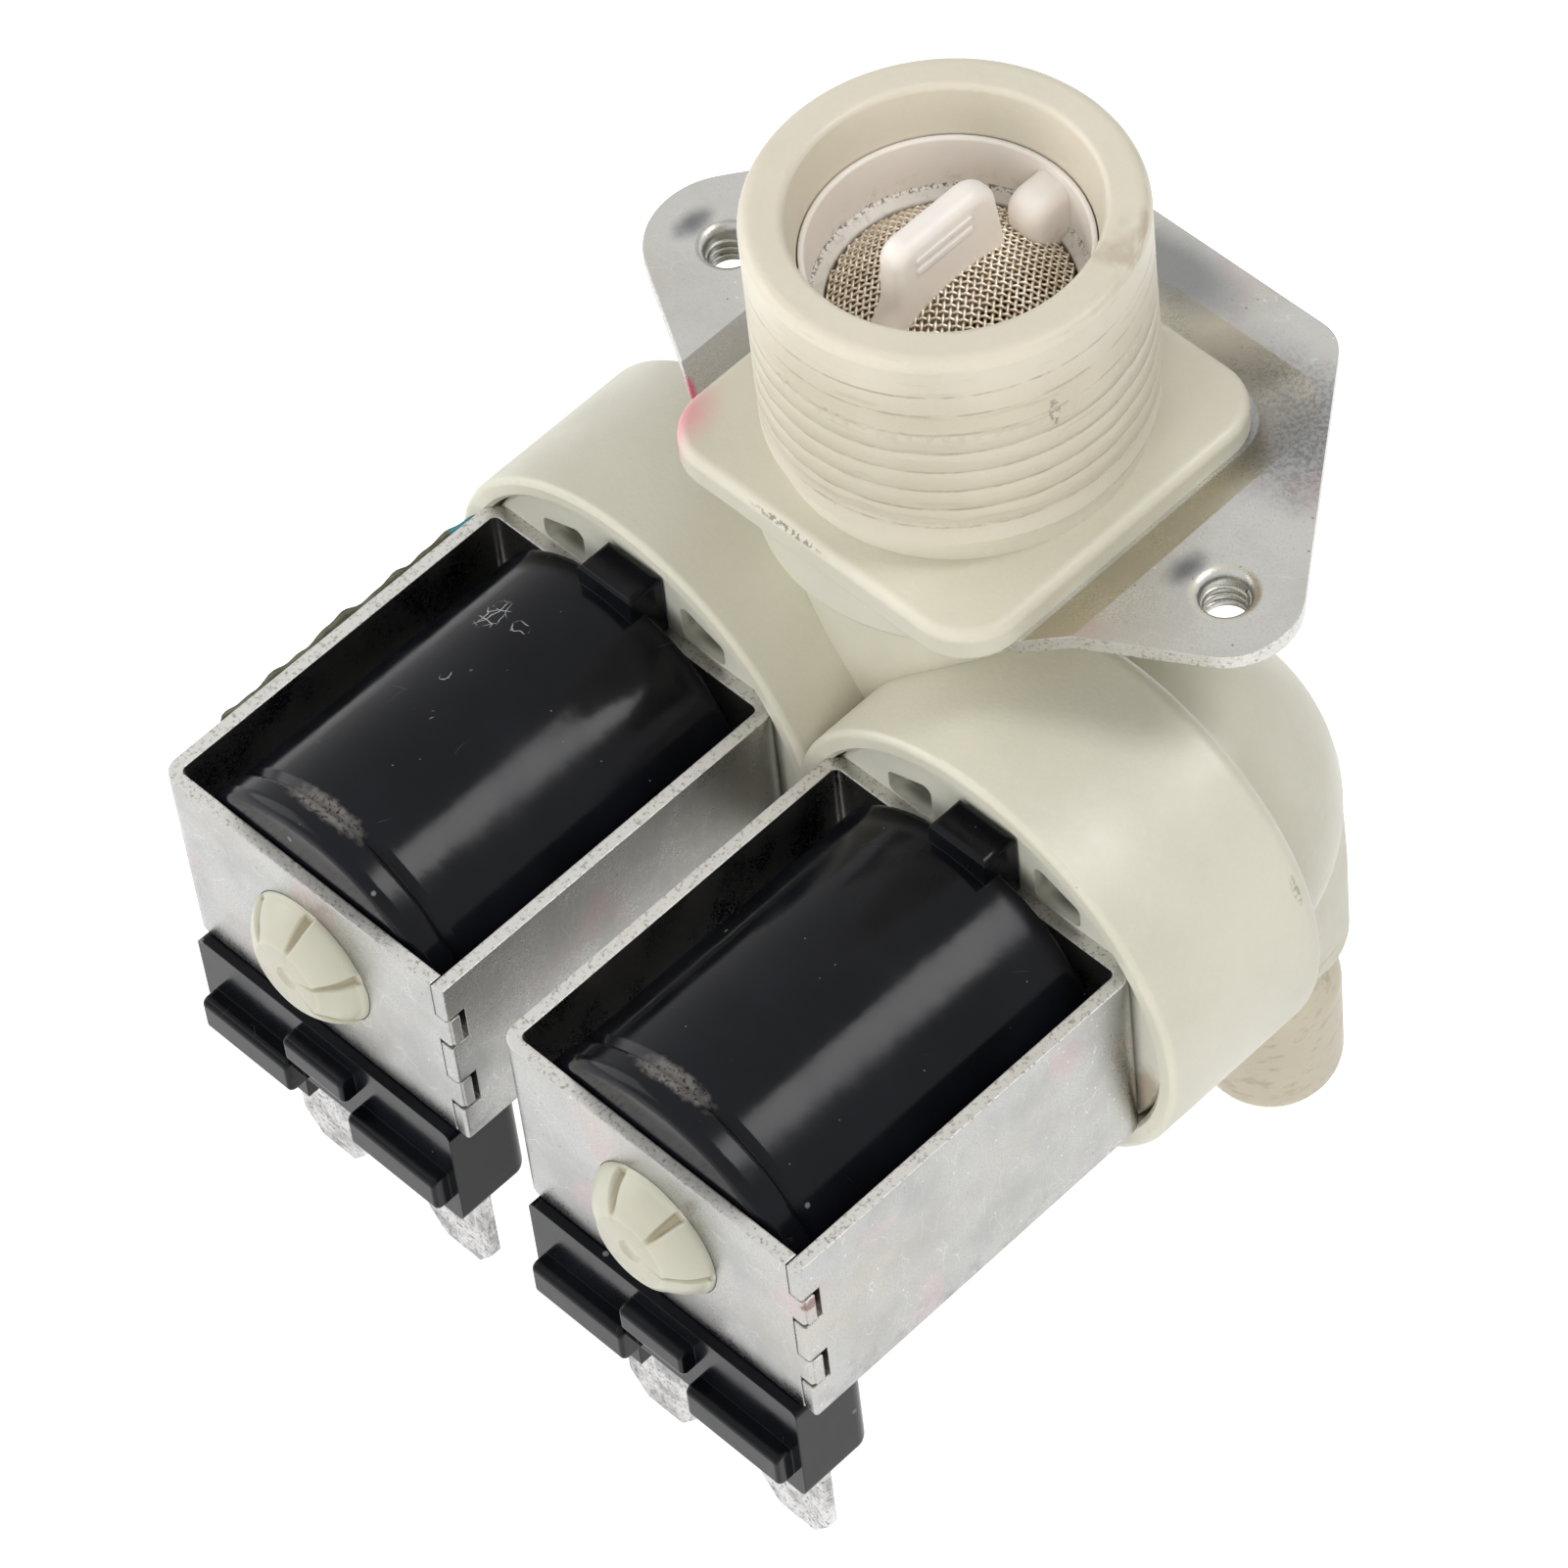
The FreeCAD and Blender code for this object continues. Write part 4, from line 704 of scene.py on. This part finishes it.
class VALVE_OT_mouldings(bpy.types.Operator):
    """Finishes the ivory body and adds the inlet thread"""

    bl_idname = "valve.mouldings"
    bl_label = "Body and thread"

    def execute(self, context):
        finish = Nylon("ivory_nylon", context.scene, tuple(context.scene.valve_finish.ivory))
        paint(finish, "valve_body")
        self.add_thread(context.scene.valve_thread, finish)
        return {"FINISHED"}

    def add_thread(self, thread, finish):
        """Worn thread of the inlet, which fades into the spigot at both ends."""
        wall, foot, top = SPIGOT_RADIUS * MM, THREAD_FOOT * MM, THREAD_TOP * MM
        root, crest = wall - 0.25 * MM, wall + thread.proud
        half = thread.crest / 2
        wide = half + 0.06 * MM
        profile = [(root, -wide), (wall, -wide), (crest, -half), (crest, half), (wall, wide), (root, wide)]
        bm = helix(profile, (0, 0), thread.pitch, foot, (top - foot) / thread.pitch, 96)
        for vert in bm.verts:
            radius = math.hypot(vert.co.x, vert.co.y)
            ends = min((vert.co.z - foot) / (1.2 * MM), (top - vert.co.z) / (7.0 * MM))
            sink = 0.1 * MM * max(0.0, 1.0 - max(0.0, ends))
            vert.co.xy *= (radius - sink) / radius
        bmesh.ops.translate(bm, verts=bm.verts, vec=(0, INLET_Y * MM, 0))
        keep_piece(bm, "inlet_thread", finish.material)


class VALVE_OT_covers(bpy.types.Operator):
    """Finishes the coil covers and moulds the lobes of their snap tips"""

    bl_idname = "valve.covers"
    bl_label = "Covers and snap tips"

    def execute(self, context):
        finish = Nylon("cover_nylon", context.scene, tint(212, 211, 198))
        for side in SIDES:
            self.mould_cover(side, context.scene.valve_snap_tip, finish)
        return {"FINISHED"}

    def mould_cover(self, side, tip, finish):
        """The cover as it is up to the front plate, with a lobed tip in front of it."""
        plate_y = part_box(side + "_yoke")[0].y
        bm = merged_copy(side + "_cover_tube")
        bmesh.ops.bisect_plane(
            bm, geom=[*bm.verts, *bm.edges, *bm.faces], plane_co=(0, plate_y, 0), plane_no=(0, -1, 0),
            clear_outer=True)
        bmesh.ops.holes_fill(bm, edges=bm.edges)
        self.add_tip(bm, side, plate_y, tip)
        crease(bm)
        keep_piece(bm, side + "_cover", finish.material, [side + "_cover_tube"])

    def add_tip(self, bm, side, plate_y, tip):
        """Turned button whose grooves and low lobes are pressed in."""
        axis_x, axis_z = COIL_X[side] * MM, COIL_Z * MM
        end = plate_y - tip.length
        dimple = end + 0.25 * MM
        outline = [(0.0, dimple), (0.7 * MM, dimple), (0.95 * MM, end), (tip.disc, end)]
        slope = tip.length - 0.35 * MM
        rows = 12
        for row in range(1, rows + 1):
            turn = row / rows * math.pi / 2
            bulge = 0.45 * math.sin(turn) + 0.55 * row / rows
            sweep = 0.45 * (1 - math.cos(turn)) + 0.55 * row / rows
            outline.append((tip.disc + (tip.base - tip.disc) * bulge, end + slope * sweep))
        outline += [(tip.base, plate_y), (0.0, plate_y)]
        verts = [bm.verts.new((axis_x + radius, y, axis_z)) for radius, y in outline]
        edges = [bm.edges.new(pair) for pair in zip(verts, verts[1:])]
        bmesh.ops.spin(
            bm, geom=verts + edges, cent=(axis_x, 0, axis_z), axis=(0, 1, 0), angle=math.tau, steps=240,
            use_merge=True)
        bmesh.ops.remove_doubles(bm, verts=bm.verts, dist=SAME_POINT * MM)
        # The groove attribute marks where painted shade goes in the grooves.
        depth = bm.verts.layers.float.new("groove")
        for vert in bm.verts:
            if vert.co.y < plate_y - 0.2 * MM:
                vert[depth] = self.press(vert, axis_x, axis_z, side, tip)

    def press(self, vert, axis_x, axis_z, side, tip):
        """Presses one point in where a groove or a low lobe is, and returns the groove's share there."""
        across, up = vert.co.x - axis_x, vert.co.z - axis_z
        radius = math.hypot(across, up)
        outward = (radius - tip.disc) / (tip.base - tip.disc)
        if outward <= 0:
            return 0.0
        pitch = math.tau / tip.lobes
        angle = math.atan2(across, up) - math.radians(TIP_TURN[side])
        lobe = math.floor(angle / pitch)
        away = abs(angle - round(angle / pitch) * pitch) * radius
        half = (0.1 + 0.28 * outward) * MM
        share = 1 - min(1.0, max(0.0, (away - half) / (0.1 * MM)))
        low = tip.step * (lobe % 2) * min(1.0, 3 * outward)
        sink = min(tip.groove, 3 * tip.groove * outward) * share + low * (1 - share)
        if radius < 0.99 * tip.base:
            vert.co.y += sink * 0.8
        vert.co.x -= across / radius * sink * 0.5 * outward
        vert.co.z -= up / radius * sink * 0.5 * outward
        return share


class VALVE_OT_bracket(bpy.types.Operator):
    """Finishes the plated bracket and cuts the turns of its two tapped holes"""

    bl_idname = "valve.bracket"
    bl_label = "Bracket"

    def execute(self, context):
        thread = context.scene.valve_thread
        zinc = tuple(context.scene.valve_finish.zinc)
        finish = zinc_plate("zinc_bracket", zinc, bracket_edges, bracket_light_and_grit)
        paint(finish, "mounting_bracket")
        wall = HOLE_RADIUS * MM
        half = thread.tapped_pitch * 0.46
        profile = [(wall, -half), (wall - thread.tapped_height, 0.0), (wall, half), (wall + 0.1 * MM, 0.0)]
        for side, x in zip(SIDES, HOLE_X):
            bm = helix(profile, (x * MM, 0), thread.tapped_pitch, -2.4 * MM, 3.2, 48)
            keep_piece(bm, side + "_tapped_turns", finish.material)
        return {"FINISHED"}


class VALVE_OT_filter(bpy.types.Operator):
    """Finishes the inlet filter and weaves its gauze from single wires"""

    bl_idname = "valve.filter"
    bl_label = "Filter and gauze"

    def execute(self, context):
        paint(filter_plastic("filter_white", context.scene.valve_finish), "inlet_filter")
        bm = self.weave(context.scene.valve_gauze)
        keep_piece(bm, "inlet_gauze", steel_wire("gauze_wire").material, ["filter_mesh"])
        return {"FINISHED"}

    def weave(self, gauze):
        """Wires that cross over and under one another on the dome of the plain disc."""
        low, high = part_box("filter_mesh")
        reach = (high.x - low.x) / 2
        edge_z = low.z + 2 * gauze.wire
        rise = high.z - low.z - 4 * gauze.wire
        ball = (reach ** 2 + rise ** 2) / (2 * rise)

        def dome(radius):
            return edge_z + rise - ball + math.sqrt(ball ** 2 - radius ** 2)

        curve = bpy.data.curves.new("gauze_path", "CURVE")
        curve.dimensions = "3D"
        curve.bevel_depth = gauze.wire
        curve.bevel_resolution = 0
        curve.use_fill_caps = True
        rows = int(reach / gauze.pitch)
        for turn in (gauze.turn, gauze.turn + math.pi / 2):
            for row in range(-rows, rows + 1):
                self.lay_wire(curve, row, turn, gauze, reach, dome, turn == gauze.turn)
        path = bpy.data.objects.new("gauze_path", curve)
        bm = bmesh.new()
        bm.from_mesh(bpy.data.meshes.new_from_object(path))
        bpy.data.objects.remove(path)
        return bm

    def lay_wire(self, curve, row, turn, gauze, reach, dome, warp):
        """One wire as a straight run of points over the dome, high and low in turn."""
        offset = row * gauze.pitch
        half = math.sqrt(max(0.0, reach ** 2 - offset ** 2))
        count = int(half / gauze.pitch)
        if count < 1:
            return
        spline = curve.splines.new("POLY")
        spline.points.add(2 * count * 2)
        place = Matrix.Rotation(turn, 3, "Z")
        for index, point in enumerate(spline.points):
            step = index / 2 - count
            flat = place @ Vector((step * gauze.pitch, offset, 0))
            phase = math.cos(math.pi * (step + row)) * (1 if warp else -1)
            height = dome(flat.length) + gauze.wire * phase
            point.co = (flat.x, flat.y + INLET_Y * MM, height, 1)


class VALVE_OT_yokes(bpy.types.Operator):
    """Finishes the folded yokes and adds the loose strip on the left one"""

    bl_idname = "valve.yokes"
    bl_label = "Yokes"

    def execute(self, context):
        zinc = tuple(context.scene.valve_finish.yoke_zinc)
        paint(zinc_plate("zinc_yoke", zinc, yoke_edges, handle_yoke), "left_yoke", "right_yoke")
        self.add_strip()
        return {"FINISHED"}

    def add_strip(self):
        """Worn strip of film on the left yoke's outer wall, whose upper edge has come loose."""
        low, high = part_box("left_yoke")
        start, end = -42.4 * MM, -18.0 * MM
        foot, tall, stand_off = -3.4, 3.1, 0.06
        bm = bmesh.new()
        bmesh.ops.create_grid(bm, x_segments=60, y_segments=8, size=0.5)
        for vert in bm.verts:
            along, rise = vert.co.x + 0.5, vert.co.y + 0.5
            waves = 0.1 * math.sin(17 * along) + 0.05 * math.sin(41 * along)
            loose = 0.62 * math.sin(math.pi * along) ** 0.35 + waves
            ragged = 0.2 * math.sin(29 * along + 1) + 0.12 * math.sin(67 * along)
            vert.co.x = low.x - (stand_off + max(0.0, loose) * rise ** 2) * MM
            vert.co.y = start + (end - start) * along
            vert.co.z = high.z + (foot + (tall + ragged) * rise) * MM
        bmesh.ops.solidify(bm, geom=bm.faces, thickness=0.05 * MM)
        keep_piece(bm, "loose_strip", strip_film("strip_film").material)


class VALVE_OT_coils(bpy.types.Operator):
    """Finishes the moulded coils and their spade terminals"""

    bl_idname = "valve.coils"
    bl_label = "Coils and terminals"

    def execute(self, context):
        black = coil_black("coil_black", context.scene.valve_finish)
        paint(black, "left_coil_jacket", "right_coil_jacket")
        tin = spade_tin("spade_tin")
        for side in SIDES:
            paint(tin, side + "_outer_terminal", side + "_inner_terminal")
        return {"FINISHED"}


class VALVE_OT_inner_parts(bpy.types.Operator):
    """Finishes the parts inside the coils and the chambers, and adds copies of the closing springs"""

    bl_idname = "valve.inner_parts"
    bl_label = "Inner parts"

    def execute(self, context):
        finishes = {part: plain_finish(*numbers) for part, numbers in INNER_FINISHES.items()}
        for part, same in SAME_FINISH.items():
            finishes[part] = finishes[same]
        for side in SIDES:
            for part, finish in finishes.items():
                paint(finish, f"{side}_{part}")
        for joint in frame["joints"]:
            if joint["name"].endswith("_plunger_lift"):
                self.add_spring(joint, finishes["plunger_spring"].material)
        return {"FINISHED"}

    def add_spring(self, joint, material):
        """Copy of a closing spring, which takes the place of its CAD node."""
        soft = joint["deforming_nodes"][0]
        node, foot_y = soft["node"], soft["fixed_end_y_m"]
        bm = merged_copy(node)
        crease(bm)
        piece = keep_piece(bm, node.replace("plunger", "closing"), material, [node])
        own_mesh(piece)


class VALVE_OT_stage(bpy.types.Operator):
    """Sets the pale floor, the soft lamps, the world and the camera"""

    bl_idname = "valve.stage"
    bl_label = "Stage"

    def execute(self, context):
        self.add_floor()
        self.light_world(context.scene)
        self.add_lamp("streak_softbox", (0.45, 0.39, 0.80), (0.22, 0.41), 2.5)
        self.add_lamp("left_softbox", (-0.80, -0.35, 0.42), (0.7, 0.7), 3.6)
        fill = self.add_lamp("front_softbox", (0.35, -0.85, 0.40), (0.7, 0.7), 4.8)
        fill.visible_glossy = False
        self.add_camera(context.scene, context.scene.valve_stage)
        context.scene.view_settings.view_transform = "Standard"
        return {"FINISHED"}

    def seen_directly(self, tree):
        """1 for camera, glossy and transmitted rays."""
        path = tree.nodes.new("ShaderNodeLightPath")
        total = path.outputs["Is Camera Ray"]
        for name in ("Is Glossy Ray", "Is Transmission Ray"):
            either = tree.nodes.new("ShaderNodeMath")
            either.operation = "MAXIMUM"
            tree.links.new(total, either.inputs[0])
            tree.links.new(path.outputs[name], either.inputs[1])
            total = either.outputs[0]
        return total

    def add_floor(self):
        """Pale floor below the outlets, white to the camera except in the shadow."""
        bm = bmesh.new()
        bmesh.ops.create_grid(bm, x_segments=1, y_segments=1, size=3.0)
        bmesh.ops.translate(bm, verts=bm.verts, vec=(0, 0, cad_box[0].z - 0.4 * MM))
        mesh = bpy.data.meshes.new("floor")
        bm.to_mesh(mesh)
        bm.free()
        floor = bpy.data.objects.new("floor", mesh)
        bpy.context.scene.collection.objects.link(floor)
        material = bpy.data.materials.new("pale_floor")
        material.use_nodes = True
        tree = material.node_tree
        shader = tree.nodes["Principled BSDF"]
        shader.inputs["Base Color"].default_value = (0.9, 0.9, 0.9, 1)
        shader.inputs["Roughness"].default_value = 0.9
        shader.inputs["Specular IOR Level"].default_value = 0.0
        shader.inputs["Emission Color"].default_value = (1, 1, 1, 1)
        lift = tree.nodes.new("ShaderNodeMath")
        lift.operation = "MULTIPLY"
        tree.links.new(self.seen_directly(tree), lift.inputs[0])
        lift.inputs[1].default_value = FLOOR_GLOW
        tree.links.new(lift.outputs[0], shader.inputs["Emission Strength"])
        mesh.materials.append(material)

    def light_world(self, scene):
        """World that lights the object softly and looks white where it is seen."""
        scene.world = bpy.data.worlds.new("pale_room")
        scene.world.use_nodes = True
        tree = scene.world.node_tree
        background = tree.nodes["Background"]
        background.inputs["Color"].default_value = (1, 1, 1, 1)
        blend = tree.nodes.new("ShaderNodeMapRange")
        tree.links.new(self.seen_directly(tree), blend.inputs["Value"])
        blend.inputs["To Min"].default_value = ROOM_LIGHT
        blend.inputs["To Max"].default_value = 1.0
        tree.links.new(blend.outputs[0], background.inputs["Strength"])

    def add_lamp(self, name, direction, size, power):
        """Softbox in a direction from the valve, turned to face it."""
        light = bpy.data.lights.new(name, "AREA")
        light.shape = "RECTANGLE"
        light.size, light.size_y = size
        light.energy = power
        lamp = bpy.data.objects.new(name, light)
        aim = (cad_box[0] + cad_box[1]) / 2
        lamp.location = aim + Vector(direction).normalized() * (LAMP_DISTANCE * MM)
        lamp.rotation_euler = (aim - lamp.location).to_track_quat("-Z", "Y").to_euler()
        bpy.context.scene.collection.objects.link(lamp)
        return lamp

    def add_camera(self, scene, view):
        """Camera at the photograph's angle, fitted to the rims of the inlet."""
        aim = Vector(CAMERA_AIM) * MM
        flat = Vector((math.sin(view.azimuth), -math.cos(view.azimuth), 0))
        back = flat * math.cos(view.elevation) + Vector((0, 0, math.sin(view.elevation)))
        right = Vector((math.cos(view.azimuth), math.sin(view.azimuth), 0))
        right.rotate(Matrix.Rotation(view.roll, 3, back))
        lens = bpy.data.cameras.new("photo_lens")
        lens.lens = view.lens
        lens.sensor_width = 36.0
        lens.clip_start, lens.clip_end = 0.05, 20.0
        camera = bpy.data.objects.new("photo_camera", lens)
        turn = Matrix((right, back.cross(right), back)).transposed().to_4x4()
        camera.matrix_world = Matrix.Translation(aim + back * view.distance) @ turn
        scene.collection.objects.link(camera)
        scene.camera = camera


STEPS = (
    VALVE_OT_mouldings, VALVE_OT_covers, VALVE_OT_bracket, VALVE_OT_filter, VALVE_OT_yokes, VALVE_OT_coils,
    VALVE_OT_inner_parts, VALVE_OT_stage)
SETTINGS = {
    "valve_thread": ThreadSettings, "valve_gauze": GauzeSettings, "valve_snap_tip": SnapTipSettings,
    "valve_finish": FinishSettings, "valve_stage": StageSettings}


class VALVE_PT_panel(bpy.types.Panel):
    """Lists the valve's settings and the steps that dress it"""

    bl_label = "Inlet Valve"
    bl_idname = "VALVE_PT_panel"
    bl_space_type = "VIEW_3D"
    bl_region_type = "UI"
    bl_category = "Inlet Valve"

    def draw(self, context):
        for name, group in SETTINGS.items():
            box = self.layout.box()
            box.label(text=name.replace("valve_", "").capitalize())
            for field in group.__annotations__:
                box.prop(getattr(context.scene, name), field)
        for step in STEPS:
            self.layout.operator(step.bl_idname)


def register():
    for group in (*SETTINGS.values(), *STEPS, VALVE_PT_panel):
        bpy.utils.register_class(group)
    for name, group in SETTINGS.items():
        setattr(bpy.types.Scene, name, bpy.props.PointerProperty(type=group))


def unregister():
    for name in SETTINGS:
        delattr(bpy.types.Scene, name)
    for group in reversed((*SETTINGS.values(), *STEPS, VALVE_PT_panel)):
        bpy.utils.unregister_class(group)


def main():
    register()
    for step in STEPS:
        group, name = step.bl_idname.split(".")
        getattr(getattr(bpy.ops, group), name)()


if __name__ == "__main__":
    main()
